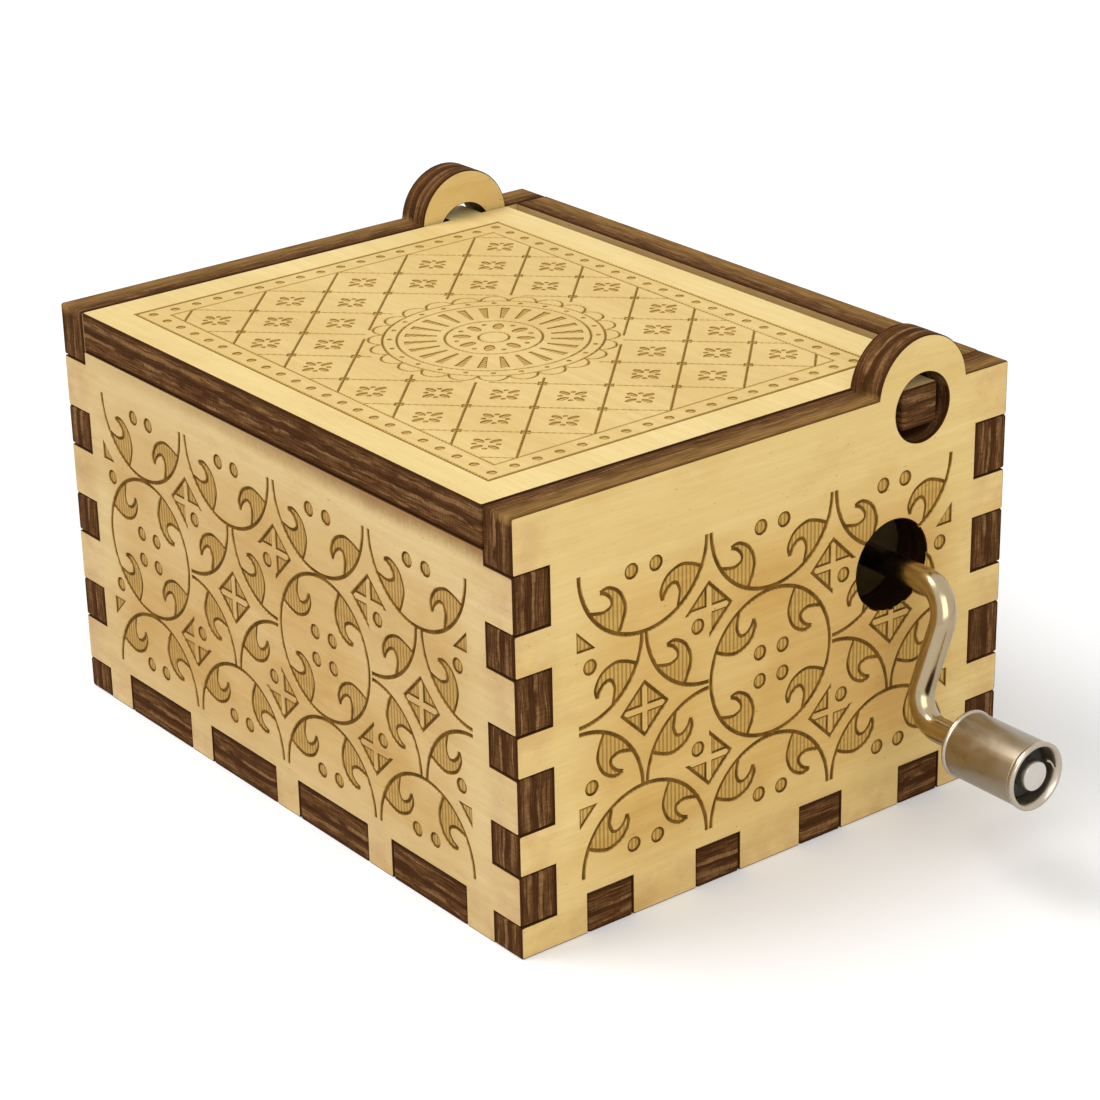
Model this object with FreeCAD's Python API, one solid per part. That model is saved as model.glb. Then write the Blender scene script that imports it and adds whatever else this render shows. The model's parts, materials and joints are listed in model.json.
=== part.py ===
"""Hand-cranked music box: a finger-jointed plywood case with a cylinder and comb movement.

Frame: millimetres, +Z up. The origin is the middle of the case's bottom, on the surface it
stands on. +X is the crank side and -Y the front, where the lid opens.
"""
import FreeCAD, Part
import math
import os

os.makedirs("parts", exist_ok=True)

Vector = FreeCAD.Vector
X_AXIS = Vector(1, 0, 0)
Y_AXIS = Vector(0, 1, 0)
Z_AXIS = Vector(0, 0, 1)

# --- Case -------------------------------------------------------------------------------
case_width = 64.0            # along X, over the side walls
case_depth = 50.7            # along Y, over the front and back walls
case_height = 36.7           # to the top of the side walls, without the ears
ply = 3.4                    # thickness of every plywood panel
joint_clearance = 0.05       # each side of a finger or tab in its notch

corner_finger_length = 4.65  # fingers of the front and back walls, up each corner
corner_finger_pitch = 8.3
lowest_finger_length = 4.25
lowest_finger_top = 7.1
side_tab_width = 4.4         # base tabs through the side walls
side_tab_pitch = 11.05
front_tab_width = 9.8        # base tabs through the front and back walls
front_tab_pitch = 13.35
tab_count = 4                # base tabs along each edge

# --- Lid and its pivots -----------------------------------------------------------------
hinge_setback = 9.5          # from the back of the case to the pivot axis
ear_radius = 4.8
ear_rise = 4.35              # height of the ears over the side walls
pivot_hole_radius = 2.9
pivot_tab_width = 3.75
pivot_tab_setback = 0.35     # the tabs end this far inside the side walls' outer faces
lid_side_gap = 0.15
lid_rear_gap = 1.25
lid_rest_gap = 0.1           # between the closed lid and the front wall

# --- Crank ------------------------------------------------------------------------------
crank_setback = 12.45        # from the back of the case to the crank axis
crank_height = 22.2
crank_hole_radius = 3.875
rod_radius = 1.05
rod_bend_radius = 2.7
rod_reach = 6.9              # from the side wall to the crank arm, along the crank axis
crank_throw = 11.1
crank_lean = 1.5             # the arm leans back towards the case by this much
crank_rest_angle = 13.2      # degrees from straight down, towards the front
grip_offset = 6.0            # from the arm's lower corner to the knob
knob_length = 7.7
knob_radius = 2.75
knob_wall = 0.5
knob_recess = 1.5            # from the knob's outer end down to its bush
rod_head_radius = 1.25
rod_head_setback = 0.15
running_clearance = 0.05     # radial, for each shaft in its bearing
end_float = 0.1              # axial play of turning parts

# --- Worm gear --------------------------------------------------------------------------
wheel_teeth = 16
worm_pitch_radius = 3.0
worm_turns = 2
pressure_angle = 20.0
backlash = 0.15              # taken off the tooth and the thread, each
root_clearance = 0.2
wheel_width = 4.0
wheel_hub_radius = 2.6
wheel_bed_gap = 0.4          # between the bedplate and the wheel's tips, and the pins

# --- Cylinder and comb ------------------------------------------------------------------
cylinder_x = 8.0
barrel_wall = 0.5
barrel_length = 20.4
barrel_gap = 1.5             # between the barrel and the worm wheel's rim
pin_width = 0.35
pin_height = 0.7
pins_per_track = 4
pin_step_angle = 137.5       # turns each track's pins against the last track's
arbor_radius = 1.0
cap_thickness = 1.2
clip_thickness = 0.5
clip_radius = 1.9

comb_teeth = 18
barrel_end_margin = 0.75     # bare barrel outside the outer teeth's tracks
tooth_gap = 0.25
tooth_thickness = 0.5
longest_tooth = 11.5
shortest_tooth = 7.0
comb_thickness = 1.2
comb_heel = 6.5              # solid strip behind the longest tooth
comb_margin = 0.6            # strip outside the outer teeth
comb_pin_gap = 0.1           # between the tooth tips and the pins
weight_count = 8             # bass teeth with a tuning weight under the tip
weight_length = 2.4
weight_height = 0.9
weight_setback = 1.2         # from the tooth's tip to its weight
comb_screw_spacing = 12.6

# --- Bedplate, bracket and screws -------------------------------------------------------
bed_thickness = 1.8
bed_left_margin = 2.7        # outside the comb
bed_right_margin = 0.8       # outside the bracket's foot
bed_front_margin = 2.0       # outside the arbor's posts
bed_back_margin = 2.2
bed_corner_radius = 2.0
post_thickness = 1.5
post_width = 6.0
seat_width = 6.0             # of the comb seat
bracket_sheet = 1.2
bracket_width = 5.4
bracket_headroom = 0.6       # between the worm and the bracket's top
bracket_foot = 5.0
wheel_side_gap = 0.8         # between the wheel's tips and the bracket's cheeks
screw_radius = 1.0
screw_head_radius = 1.9
screw_head_height = 1.0
screw_clearance = 0.1        # radial, where a screw passes through without biting
screw_bite = 2.6             # thread length in the comb's seat
head_recess = 0.1            # the base screws' heads lie this far inside the base

# --- Places worked out from the sizes above ---------------------------------------------
half_width = case_width / 2
half_depth = case_depth / 2
inner_x = half_width - ply
inner_y = half_depth - ply
hinge_y = half_depth - hinge_setback
hinge_z = case_height - ply / 2
front_wall_top = case_height - ply - lid_rest_gap
crank_y = half_depth - crank_setback
bed_top = ply + bed_thickness
gear_room = crank_height - worm_pitch_radius - bed_top - wheel_bed_gap
gear_module = gear_room / (wheel_teeth + 1)
lead = math.pi * gear_module
wheel_pitch_radius = gear_module * wheel_teeth / 2
wheel_tip_radius = wheel_pitch_radius + gear_module
worm_tip_radius = worm_pitch_radius + gear_module
worm_root_radius = worm_pitch_radius - gear_module - root_clearance
wheel_root_radius = wheel_pitch_radius - gear_module - root_clearance
cylinder_z = crank_height - worm_pitch_radius - wheel_pitch_radius
wheel_front = crank_y - wheel_width / 2
wheel_back = crank_y + wheel_width / 2
barrel_back = wheel_front - barrel_gap
barrel_front = barrel_back - barrel_length
pin_circle = cylinder_z - bed_top - wheel_bed_gap
barrel_radius = pin_circle - pin_height
comb_tip_x = cylinder_x - pin_circle - comb_pin_gap
comb_span = barrel_length - 2 * barrel_end_margin
tooth_pitch = comb_span / comb_teeth
comb_middle_y = (barrel_front + barrel_back) / 2
comb_back_x = comb_tip_x - longest_tooth - comb_heel
comb_underside = cylinder_z - tooth_thickness / 2
front_post_back = barrel_front - end_float
front_post_front = front_post_back - post_thickness
back_post_front = max(wheel_back, crank_y + bracket_width / 2) + end_float
back_post_back = back_post_front + post_thickness
cheek_left = cylinder_x - wheel_tip_radius - wheel_side_gap
cheek_right = cylinder_x + wheel_tip_radius + wheel_side_gap
bracket_underside = crank_height + worm_tip_radius + bracket_headroom
bed_left = comb_back_x - bed_left_margin
bed_right = cheek_right + bracket_sheet + bracket_foot + bed_right_margin
bed_front = front_post_front - bed_front_margin
bed_back = back_post_back + bed_back_margin
arm_x = half_width + rod_reach
rest_angle = math.radians(crank_rest_angle)
knob_x = arm_x - crank_lean + grip_offset
knob_y = crank_y - crank_throw * math.sin(rest_angle)
knob_z = crank_height - crank_throw * math.cos(rest_angle)
knob_end_x = knob_x + knob_length


# --- Helpers ----------------------------------------------------------------------------
def block(x0, x1, y0, y1, z0, z1):
    """A box between two planes along each axis."""
    return Part.makeBox(x1 - x0, y1 - y0, z1 - z0, Vector(x0, y0, z0))


def rod(radius, start, end):
    """A round bar between two points."""
    along = end.sub(start)
    return Part.makeCylinder(radius, along.Length, start, along)


def turned(profile, base, axis):
    """A solid of revolution from (distance along the axis, radius) pairs."""
    side = Z_AXIS if abs(axis.dot(Z_AXIS)) < 0.5 else X_AXIS
    points = [base + axis * along + side * radius for along, radius in profile]
    face = Part.Face(Part.makePolygon(points + points[:1]))
    return face.revolve(base, axis, 360)


def fused(first, others):
    """One clean solid from touching pieces."""
    return first.fuse(others).removeSplitter()


def centred(count, pitch):
    """Places of a row of equal steps, centred on zero."""
    return [(i - (count - 1) / 2) * pitch for i in range(count)]


def corner_fingers():
    """Height ranges of the front and back walls' fingers."""
    count = int((front_wall_top - lowest_finger_top) / corner_finger_pitch) + 1
    tops = [lowest_finger_top + i * corner_finger_pitch for i in range(count)]
    lengths = [lowest_finger_length] + [corner_finger_length] * (count - 1)
    return [(top - length, top) for top, length in zip(tops, lengths)]


# --- Case pieces ------------------------------------------------------------------------
def base_plate():
    plate = block(-inner_x, inner_x, -inner_y, inner_y, 0, ply)
    side_tabs = [
        block(-half_width, half_width, y - side_tab_width / 2, y + side_tab_width / 2, 0, ply)
        for y in centred(tab_count, side_tab_pitch)
    ]
    front_tabs = [
        block(x - front_tab_width / 2, x + front_tab_width / 2, -half_depth, half_depth, 0, ply)
        for x in centred(tab_count, front_tab_pitch)
    ]
    plate = fused(plate, side_tabs + front_tabs)
    cuts = []
    for x, y in base_screw_places():
        cuts.append(Part.makeCylinder(screw_head_radius + screw_clearance,
                                      head_recess + screw_head_height, Vector(x, y, 0)))
        cuts.append(Part.makeCylinder(screw_radius + screw_clearance, ply, Vector(x, y, 0)))
    return plate.cut(cuts)


def long_wall(outside, top):
    """The front or back wall. outside is -1 for the front and +1 for the back."""
    y0, y1 = sorted((outside * half_depth, outside * inner_y))
    wall = block(-inner_x, inner_x, y0, y1, 0, top)
    fingers = [block(-half_width, half_width, y0, y1, z0, z1) for z0, z1 in corner_fingers()]
    wall = fused(wall, fingers)
    reach = front_tab_width / 2 + joint_clearance
    notches = [
        block(x - reach, x + reach, y0, y1, 0, ply + joint_clearance)
        for x in centred(tab_count, front_tab_pitch)
    ]
    return wall.cut(notches)


def side_wall(outside):
    """A side wall with its ear. outside is -1 for the left wall and +1 for the right one."""
    x0, x1 = sorted((outside * half_width, outside * inner_x))
    wall = block(x0, x1, -half_depth, half_depth, 0, case_height)
    ear_z = case_height + ear_rise - ear_radius
    ear = rod(ear_radius, Vector(x0, hinge_y, ear_z), Vector(x1, hinge_y, ear_z))
    wall = fused(wall, [ear])
    cuts = [rod(pivot_hole_radius, Vector(x0, hinge_y, hinge_z), Vector(x1, hinge_y, hinge_z))]
    for z0, z1 in corner_fingers():
        low = z0 - joint_clearance
        high = z1 + joint_clearance
        cuts.append(block(x0, x1, -half_depth, -inner_y, low, high))
        cuts.append(block(x0, x1, inner_y, half_depth, low, high))
    reach = side_tab_width / 2 + joint_clearance
    for y in centred(tab_count, side_tab_pitch):
        cuts.append(block(x0, x1, y - reach, y + reach, 0, ply + joint_clearance))
    if outside > 0:
        start = Vector(x0, crank_y, crank_height)
        cuts.append(rod(crank_hole_radius, start, Vector(x1, crank_y, crank_height)))
    return wall.cut(cuts)


def lid():
    edge = inner_x - lid_side_gap
    reach = half_width - pivot_tab_setback
    under = case_height - ply
    panel = block(-edge, edge, -half_depth, inner_y - lid_rear_gap, under, case_height)
    tabs = block(-reach, reach, hinge_y - pivot_tab_width / 2, hinge_y + pivot_tab_width / 2,
                 under, case_height)
    return fused(panel, [tabs])


# --- Crank ------------------------------------------------------------------------------
def bent_path(points, radius):
    """Straight runs joined by tangent arcs of one radius."""
    edges = []
    start = points[0]
    for before, corner, after in zip(points, points[1:], points[2:]):
        back = (before - corner).normalize()
        ahead = (after - corner).normalize()
        half_turn = back.getAngle(ahead) / 2
        tangent = radius / math.tan(half_turn)
        middle = (back + ahead).normalize() * (radius / math.sin(half_turn))
        arc_start = corner + back * tangent
        arc_end = corner + ahead * tangent
        arc_middle = corner + middle - Vector(middle).normalize() * radius
        edges.append(Part.LineSegment(start, arc_start).toShape())
        edges.append(Part.Arc(arc_start, arc_middle, arc_end).toShape())
        start = arc_end
    edges.append(Part.LineSegment(start, points[-1]).toShape())
    return Part.Wire(edges)


def crank_rod():
    start = Vector(cheek_left - bracket_sheet - end_float, crank_y, crank_height)
    bush_end = knob_end_x - knob_recess
    route = [
        start,
        Vector(arm_x, crank_y, crank_height),
        Vector(arm_x - crank_lean, knob_y, knob_z),
        Vector(bush_end + end_float, knob_y, knob_z),
    ]
    section = Part.Wire(Part.makeCircle(rod_radius, start, X_AXIS))
    body = bent_path(route, rod_bend_radius).makePipeShell([section], True, True)
    head = rod(rod_head_radius, route[-1], Vector(knob_end_x - rod_head_setback, knob_y, knob_z))
    return fused(body, [head])


def knob_sleeve():
    """A thin metal tube round the bush."""
    inside = knob_radius - knob_wall
    profile = [(0, inside), (0, knob_radius), (knob_length, knob_radius), (knob_length, inside)]
    return turned(profile, Vector(knob_x, knob_y, knob_z), X_AXIS)


def knob_bush():
    bore = rod_radius + running_clearance
    inside = knob_radius - knob_wall
    profile = [(0, bore), (0, inside),
               (knob_length - knob_recess, inside), (knob_length - knob_recess, bore)]
    return turned(profile, Vector(knob_x, knob_y, knob_z), X_AXIS)


# --- Worm and wheel ---------------------------------------------------------------------
def worm():
    """A single-start right-hand worm on a sleeve that is pressed on the crank rod."""
    flank = math.tan(math.radians(pressure_angle))
    tooth = lead / 2 - backlash
    inner = worm_root_radius - root_clearance / 2
    low = tooth / 2 + (worm_pitch_radius - inner) * flank
    high = tooth / 2 - gear_module * flank
    section = Part.makePolygon([
        Vector(inner, 0, -low), Vector(inner, 0, low),
        Vector(worm_tip_radius, 0, high), Vector(worm_tip_radius, 0, -high),
        Vector(inner, 0, -low),
    ])
    helix = Part.Wire(Part.makeHelix(lead, lead * worm_turns, worm_pitch_radius))
    thread = helix.makePipeShell([section], True, True)
    turn_to_x = FreeCAD.Rotation(Y_AXIS, 90)
    thread_start = Vector(cylinder_x - lead * worm_turns / 2, crank_y, crank_height)
    thread.Placement = FreeCAD.Placement(thread_start, turn_to_x)
    left = cheek_left + end_float
    right = cheek_right - end_float
    profile = [(left, rod_radius), (left, worm_root_radius), (right, worm_root_radius), (right, rod_radius)]
    sleeve = turned(profile, Vector(0, crank_y, crank_height), X_AXIS)
    return fused(sleeve, [thread])


def polar(radius, angle, y):
    """A point round the cylinder's axis. The angle runs from +Z towards +X."""
    return Vector(cylinder_x + radius * math.sin(angle), y, cylinder_z + radius * math.cos(angle))


def wheel_outline(y, turn):
    """The wheel's toothed outline, turned by an angle. Each flank is two chords of its involute."""
    base_radius = wheel_pitch_radius * math.cos(math.radians(pressure_angle))

    def roll(radius):
        lean = math.acos(min(1.0, base_radius / radius))
        return math.tan(lean) - lean

    half_tooth = (lead / 2 - backlash) / wheel_pitch_radius / 2
    foot = half_tooth + roll(wheel_pitch_radius)
    points = []
    for i in range(wheel_teeth):
        tooth = turn + 2 * math.pi * (i + 0.5) / wheel_teeth

        def at(radius, side):
            return polar(radius, tooth + side * (foot - roll(max(radius, base_radius))), y)

        radii = (wheel_root_radius, wheel_pitch_radius, wheel_tip_radius)
        points += [at(radius, -1) for radius in radii] + [at(radius, 1) for radius in reversed(radii)]
    return Part.makePolygon(points + points[:1])


def worm_wheel():
    """A helical wheel whose teeth follow the worm's lead. A gap faces the worm at rest."""
    lead_slope = lead / (2 * math.pi * worm_pitch_radius)
    twist = wheel_width / 2 * lead_slope / wheel_pitch_radius
    outlines = [wheel_outline(wheel_front, -twist), wheel_outline(wheel_back, twist)]
    rim = Part.makeLoft(outlines, True, True)
    spigot_front = Vector(cylinder_x, barrel_back - cap_thickness, cylinder_z)
    spigot = rod(barrel_radius - barrel_wall, spigot_front, Vector(cylinder_x, barrel_back, cylinder_z))
    hub = rod(wheel_hub_radius, Vector(cylinder_x, barrel_back, cylinder_z),
              Vector(cylinder_x, wheel_front, cylinder_z))
    bore = rod(arbor_radius, spigot_front, Vector(cylinder_x, wheel_back, cylinder_z))
    return fused(rim, [spigot, hub]).cut(bore)


# --- Cylinder ---------------------------------------------------------------------------
def cylinder_barrel():
    inside = barrel_radius - barrel_wall
    profile = [(0, inside), (0, barrel_radius), (barrel_length, barrel_radius), (barrel_length, inside)]
    return turned(profile, Vector(cylinder_x, barrel_front, cylinder_z), Y_AXIS)


def cylinder_cap():
    profile = [(0, arbor_radius), (0, barrel_radius - barrel_wall),
               (cap_thickness, barrel_radius - barrel_wall), (cap_thickness, arbor_radius)]
    return turned(profile, Vector(cylinder_x, barrel_front, cylinder_z), Y_AXIS)


def cylinder_pins():
    """Music pins, one track under each comb tooth, as separate square pegs."""
    pins = []
    corners = [(-1, -1), (-1, 1), (1, 1), (1, -1)]
    for track, offset in enumerate(centred(comb_teeth, tooth_pitch)):
        y = comb_middle_y + offset
        for note in range(pins_per_track):
            angle = math.radians(pin_step_angle * track + 360 * note / pins_per_track)
            angle += math.radians(360 / pins_per_track / comb_teeth) * ((track * (note + 1)) % comb_teeth)
            outward = polar(1, angle, 0) - polar(0, 0, 0)
            across = outward.cross(Y_AXIS)
            foot = polar(barrel_radius - barrel_wall, angle, y)
            ring = [foot + (across * i + Y_AXIS * j) * (pin_width / 2) for i, j in corners]
            face = Part.Face(Part.makePolygon(ring + ring[:1]))
            pins.append(face.extrude(outward * (barrel_wall + pin_height)))
    return Part.makeCompound(pins)


def cylinder_arbor():
    return rod(arbor_radius, Vector(cylinder_x, front_post_front - clip_thickness - end_float, cylinder_z),
               Vector(cylinder_x, back_post_back, cylinder_z))


def arbor_clip():
    start = front_post_front - end_float - clip_thickness
    profile = [(0, arbor_radius), (0, clip_radius), (clip_thickness, clip_radius),
               (clip_thickness, arbor_radius)]
    return turned(profile, Vector(cylinder_x, start, cylinder_z), Y_AXIS)


# --- Comb -------------------------------------------------------------------------------
def tooth_length(i):
    """Length of a tooth, longest at the front."""
    return longest_tooth + (shortest_tooth - longest_tooth) * i / (comb_teeth - 1)


def comb():
    half_span = comb_span / 2 + comb_margin
    low = comb_underside
    body = block(comb_back_x, comb_tip_x - shortest_tooth, comb_middle_y - half_span,
                 comb_middle_y + half_span, low, low + comb_thickness)
    pieces = []
    gaps = []
    for i, offset in enumerate(centred(comb_teeth, tooth_pitch)):
        y = comb_middle_y + offset
        half = (tooth_pitch - tooth_gap) / 2
        root = comb_tip_x - tooth_length(i)
        gaps.append(block(root, comb_tip_x, y + half, y + half + tooth_gap, low, low + comb_thickness))
        gaps.append(block(root, comb_tip_x, y - half - tooth_gap, y - half, low, low + comb_thickness))
        gaps.append(block(root, comb_tip_x, y - half, y + half,
                          low + tooth_thickness, low + comb_thickness))
        pieces.append(block(root, comb_tip_x, y - half, y + half, low, low + tooth_thickness))
        if i < weight_count:
            weight_end = comb_tip_x - weight_setback
            pieces.append(block(weight_end - weight_length, weight_end, y - half, y + half,
                                low - weight_height, low))
    body = fused(body.cut(gaps), pieces)
    holes = [
        Part.makeCylinder(screw_radius + screw_clearance, comb_thickness, Vector(x, y, low))
        for x, y in comb_screw_places()
    ]
    return body.cut(holes)


def comb_screw_places():
    x = comb_back_x + comb_heel / 2
    return [(x, comb_middle_y + offset) for offset in centred(2, comb_screw_spacing)]


# --- Bedplate and bracket ---------------------------------------------------------------
def base_screw_places():
    """The base screws come up through the bedplate into the bracket's feet."""
    reach = bracket_sheet + bracket_foot / 2
    return [(cheek_left - reach, crank_y), (cheek_right + reach, crank_y)]


def arbor_post(front, back):
    """An upright with a round head that carries the arbor."""
    head = post_width / 2
    y0 = Vector(cylinder_x, front, cylinder_z)
    y1 = Vector(cylinder_x, back, cylinder_z)
    leg = block(cylinder_x - head, cylinder_x + head, front, back, bed_top, cylinder_z)
    return fused(leg, [rod(head, y0, y1)])


def bedplate():
    plate = block(bed_left, bed_right, bed_front, bed_back, ply, bed_top)
    uprights = [edge for edge in plate.Edges if abs(edge.tangentAt(edge.FirstParameter).z) > 0.9]
    plate = plate.makeFillet(bed_corner_radius, uprights)
    seat_half = comb_span / 2 + comb_margin
    seat = block(comb_back_x, comb_back_x + seat_width, comb_middle_y - seat_half,
                 comb_middle_y + seat_half, bed_top, comb_underside)
    posts = [arbor_post(front_post_front, front_post_back), arbor_post(back_post_front, back_post_back)]
    bed = fused(plate, [seat] + posts)
    cuts = [rod(arbor_radius + running_clearance, Vector(cylinder_x, bed_front, cylinder_z),
                Vector(cylinder_x, bed_back, cylinder_z))]
    for x, y in comb_screw_places():
        cuts.append(Part.makeCylinder(screw_radius, screw_bite, Vector(x, y, comb_underside - screw_bite)))
    for x, y in base_screw_places():
        cuts.append(Part.makeCylinder(screw_radius + screw_clearance, bed_thickness, Vector(x, y, ply)))
    return bed.cut(cuts)


def worm_bracket():
    """A bent sheet bridge. The crank rod turns in its two cheeks, with the worm between them."""
    y0 = crank_y - bracket_width / 2
    y1 = crank_y + bracket_width / 2
    top = bracket_underside + bracket_sheet
    left = cheek_left - bracket_sheet
    right = cheek_right + bracket_sheet
    foot_top = bed_top + bracket_sheet
    profile = [
        (left - bracket_foot, bed_top), (cheek_left, bed_top), (cheek_left, bracket_underside),
        (cheek_right, bracket_underside), (cheek_right, bed_top), (right + bracket_foot, bed_top),
        (right + bracket_foot, foot_top), (right, foot_top), (right, top), (left, top),
        (left, foot_top), (left - bracket_foot, foot_top),
    ]
    points = [Vector(x, y0, z) for x, z in profile]
    face = Part.Face(Part.makePolygon(points + points[:1]))
    bridge = face.extrude(Vector(0, y1 - y0, 0))
    cuts = [rod(rod_radius + running_clearance, Vector(left, crank_y, crank_height),
                Vector(right, crank_y, crank_height))]
    for x, y in base_screw_places():
        cuts.append(Part.makeCylinder(screw_radius, bracket_sheet, Vector(x, y, bed_top)))
    return bridge.cut(cuts)


# --- Screws -----------------------------------------------------------------------------
def screw(x, y, seat_z, end_z):
    """A cheese-head screw whose head bears on seat_z and whose shank ends at end_z."""
    up = math.copysign(1, seat_z - end_z)
    seat = Vector(x, y, seat_z)
    head = rod(screw_head_radius, seat, seat + Z_AXIS * (up * screw_head_height))
    return fused(head, [rod(screw_radius, seat, Vector(x, y, end_z))])


def comb_screws():
    seat = comb_underside + comb_thickness
    end = comb_underside - screw_bite
    return Part.makeCompound([screw(x, y, seat, end) for x, y in comb_screw_places()])


def base_screws():
    """Screws up through the base and the bedplate, with their heads let into the base."""
    seat = head_recess + screw_head_height
    end = bed_top + bracket_sheet
    return Part.makeCompound([screw(x, y, seat, end) for x, y in base_screw_places()])


pieces = {
    "base_plate": base_plate(),
    "front_wall": long_wall(-1, front_wall_top),
    "back_wall": long_wall(1, case_height),
    "side_wall_left": side_wall(-1),
    "side_wall_right": side_wall(1),
    "lid": lid(),
    "crank_rod": crank_rod(),
    "knob_sleeve": knob_sleeve(),
    "knob_bush": knob_bush(),
    "worm": worm(),
    "worm_wheel": worm_wheel(),
    "cylinder_barrel": cylinder_barrel(),
    "cylinder_pins": cylinder_pins(),
    "cylinder_cap": cylinder_cap(),
    "cylinder_arbor": cylinder_arbor(),
    "arbor_clip": arbor_clip(),
    "comb": comb(),
    "bedplate": bedplate(),
    "worm_bracket": worm_bracket(),
    "comb_screws": comb_screws(),
    "base_screws": base_screws(),
}

for name, shape in pieces.items():
    shape.exportStep("parts/" + name + ".step")
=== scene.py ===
"""Dresses the crank music box: an engraved plywood case, a nickel crank and a comb movement."""
import json
import math

import bmesh
import bpy
from bmesh.types import BMFace, BMVert
from bpy.props import FloatProperty, FloatVectorProperty, IntProperty, PointerProperty
from mathutils import Matrix, Vector
from mathutils.geometry import interpolate_bezier

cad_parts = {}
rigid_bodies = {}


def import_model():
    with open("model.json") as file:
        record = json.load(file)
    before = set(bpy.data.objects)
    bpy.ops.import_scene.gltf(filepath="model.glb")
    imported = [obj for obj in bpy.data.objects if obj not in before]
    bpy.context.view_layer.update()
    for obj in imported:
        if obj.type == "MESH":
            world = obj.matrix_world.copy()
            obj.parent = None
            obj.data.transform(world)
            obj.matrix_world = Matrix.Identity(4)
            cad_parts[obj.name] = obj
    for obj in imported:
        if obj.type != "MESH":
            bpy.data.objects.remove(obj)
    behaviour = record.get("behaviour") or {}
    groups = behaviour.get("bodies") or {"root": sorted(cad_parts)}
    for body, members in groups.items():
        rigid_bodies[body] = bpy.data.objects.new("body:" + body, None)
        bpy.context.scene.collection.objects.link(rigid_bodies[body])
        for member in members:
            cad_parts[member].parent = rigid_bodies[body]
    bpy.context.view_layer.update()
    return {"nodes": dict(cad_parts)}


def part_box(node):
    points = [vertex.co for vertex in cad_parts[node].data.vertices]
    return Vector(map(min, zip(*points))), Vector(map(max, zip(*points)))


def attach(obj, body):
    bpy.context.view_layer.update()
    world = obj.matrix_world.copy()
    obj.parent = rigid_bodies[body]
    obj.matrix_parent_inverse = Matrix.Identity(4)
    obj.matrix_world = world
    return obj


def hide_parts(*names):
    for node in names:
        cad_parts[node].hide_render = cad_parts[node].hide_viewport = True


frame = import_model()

bl_info = {
    "name": "Crank music box",
    "version": (1, 0, 0),
    "blender": (4, 5, 0),
    "location": "View3D > Sidebar > Music box",
    "description": "Builds the dressed pieces of a small hand-cranked music box",
    "category": "Object",
}

MM = 0.001
# In mm: half the case's outside length and depth, and how far an engraving tool stands out of the face.
HALF_LENGTH, HALF_DEPTH = 32.0, 25.35
STAND_OUT = 0.1

# Each panel's own axes: along its length, across it (upwards on a wall), and out of its outer face.
PANEL_AXES = {
    "front_wall": ((1, 0, 0), (0, 0, 1), (0, -1, 0)),
    "back_wall": ((-1, 0, 0), (0, 0, 1), (0, 1, 0)),
    "side_wall_left": ((0, -1, 0), (0, 0, 1), (-1, 0, 0)),
    "side_wall_right": ((0, 1, 0), (0, 0, 1), (1, 0, 0)),
    "lid": ((1, 0, 0), (0, 1, 0), (0, 0, 1)),
    "base_plate": ((1, 0, 0), (0, -1, 0), (0, 0, -1)),
}
# The material slots of a panel.
FACE, EDGE, ENGRAVED = range(3)


# --- Sizes and colours a user would change ------------------------------------------------
def size(name, description, default, low, high):
    return FloatProperty(name=name, description=description, default=default, min=low, max=high)


def tone(name, description, default):
    return FloatVectorProperty(name=name, description=description, subtype="COLOR", size=3, min=0, max=1,
                               default=default)


class MusicBoxCase(bpy.types.PropertyGroup):
    line_width: size("Line width", "Width of the engraved lines, in mm", 0.42, 0.05, 1.0)
    line_depth: size("Line depth", "Depth of the engraved lines, in mm", 0.15, 0.02, 0.5)
    fill_depth: size("Fill depth", "Depth of the shaded areas, in mm", 0.07, 0.01, 0.5)
    edge_round: size("Edge round", "Wear on the panels' edges, in mm", 0.1, 0.01, 0.4)
    circle_radius: size("Circle radius", "Radius of the ornament's circles, in mm", 6.25, 2.0, 10.0)
    corner_round: size("Corner round", "Rounding of the fingers' corners, in mm", 0.2, 0.05, 0.8)
    birch: tone("Birch", "Colour of the bare veneer", (0.76, 0.565, 0.245))
    char: tone("Char", "Colour of the burnt edges", (0.118, 0.051, 0.016))
    engraved: tone("Engraved", "Colour of the engraved lines", (0.15, 0.072, 0.012))


class MusicBoxMetal(bpy.types.PropertyGroup):
    nickel: tone("Nickel", "Colour of the crank's plating", (0.43, 0.355, 0.25))
    brass: tone("Brass", "Colour of the brass pieces", (0.68, 0.47, 0.19))
    round_steps: IntProperty(name="Round steps", description="Faces around turned pieces",
                             default=96, min=24, max=256)


class MusicBoxStage(bpy.types.PropertyGroup):
    camera_place: FloatVectorProperty(name="Camera place", description="Where the camera stands",
                                      subtype="TRANSLATION", unit="LENGTH", size=3,
                                      default=(0.20075, -0.15234, 0.12529))
    camera_turn: FloatVectorProperty(name="Camera turn", description="How the camera is turned",
                                     subtype="EULER", unit="ROTATION", size=3,
                                     default=[math.radians(turn) for turn in (65.9166, 1.38, 52.4123)])
    lens: size("Lens", "Focal length in mm on a 36 mm sensor", 104.1, 20, 300)
    key_power: FloatProperty(name="Key power", description="Power of the main lamp", unit="POWER",
                             default=2.75, min=0, max=100)
    fill_power: FloatProperty(name="Fill power", description="Power of the side lamp", unit="POWER",
                              default=1.75, min=0, max=100)
    sky: size("Sky", "Strength of the plain surrounding light", 0.55, 0, 5)


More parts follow.
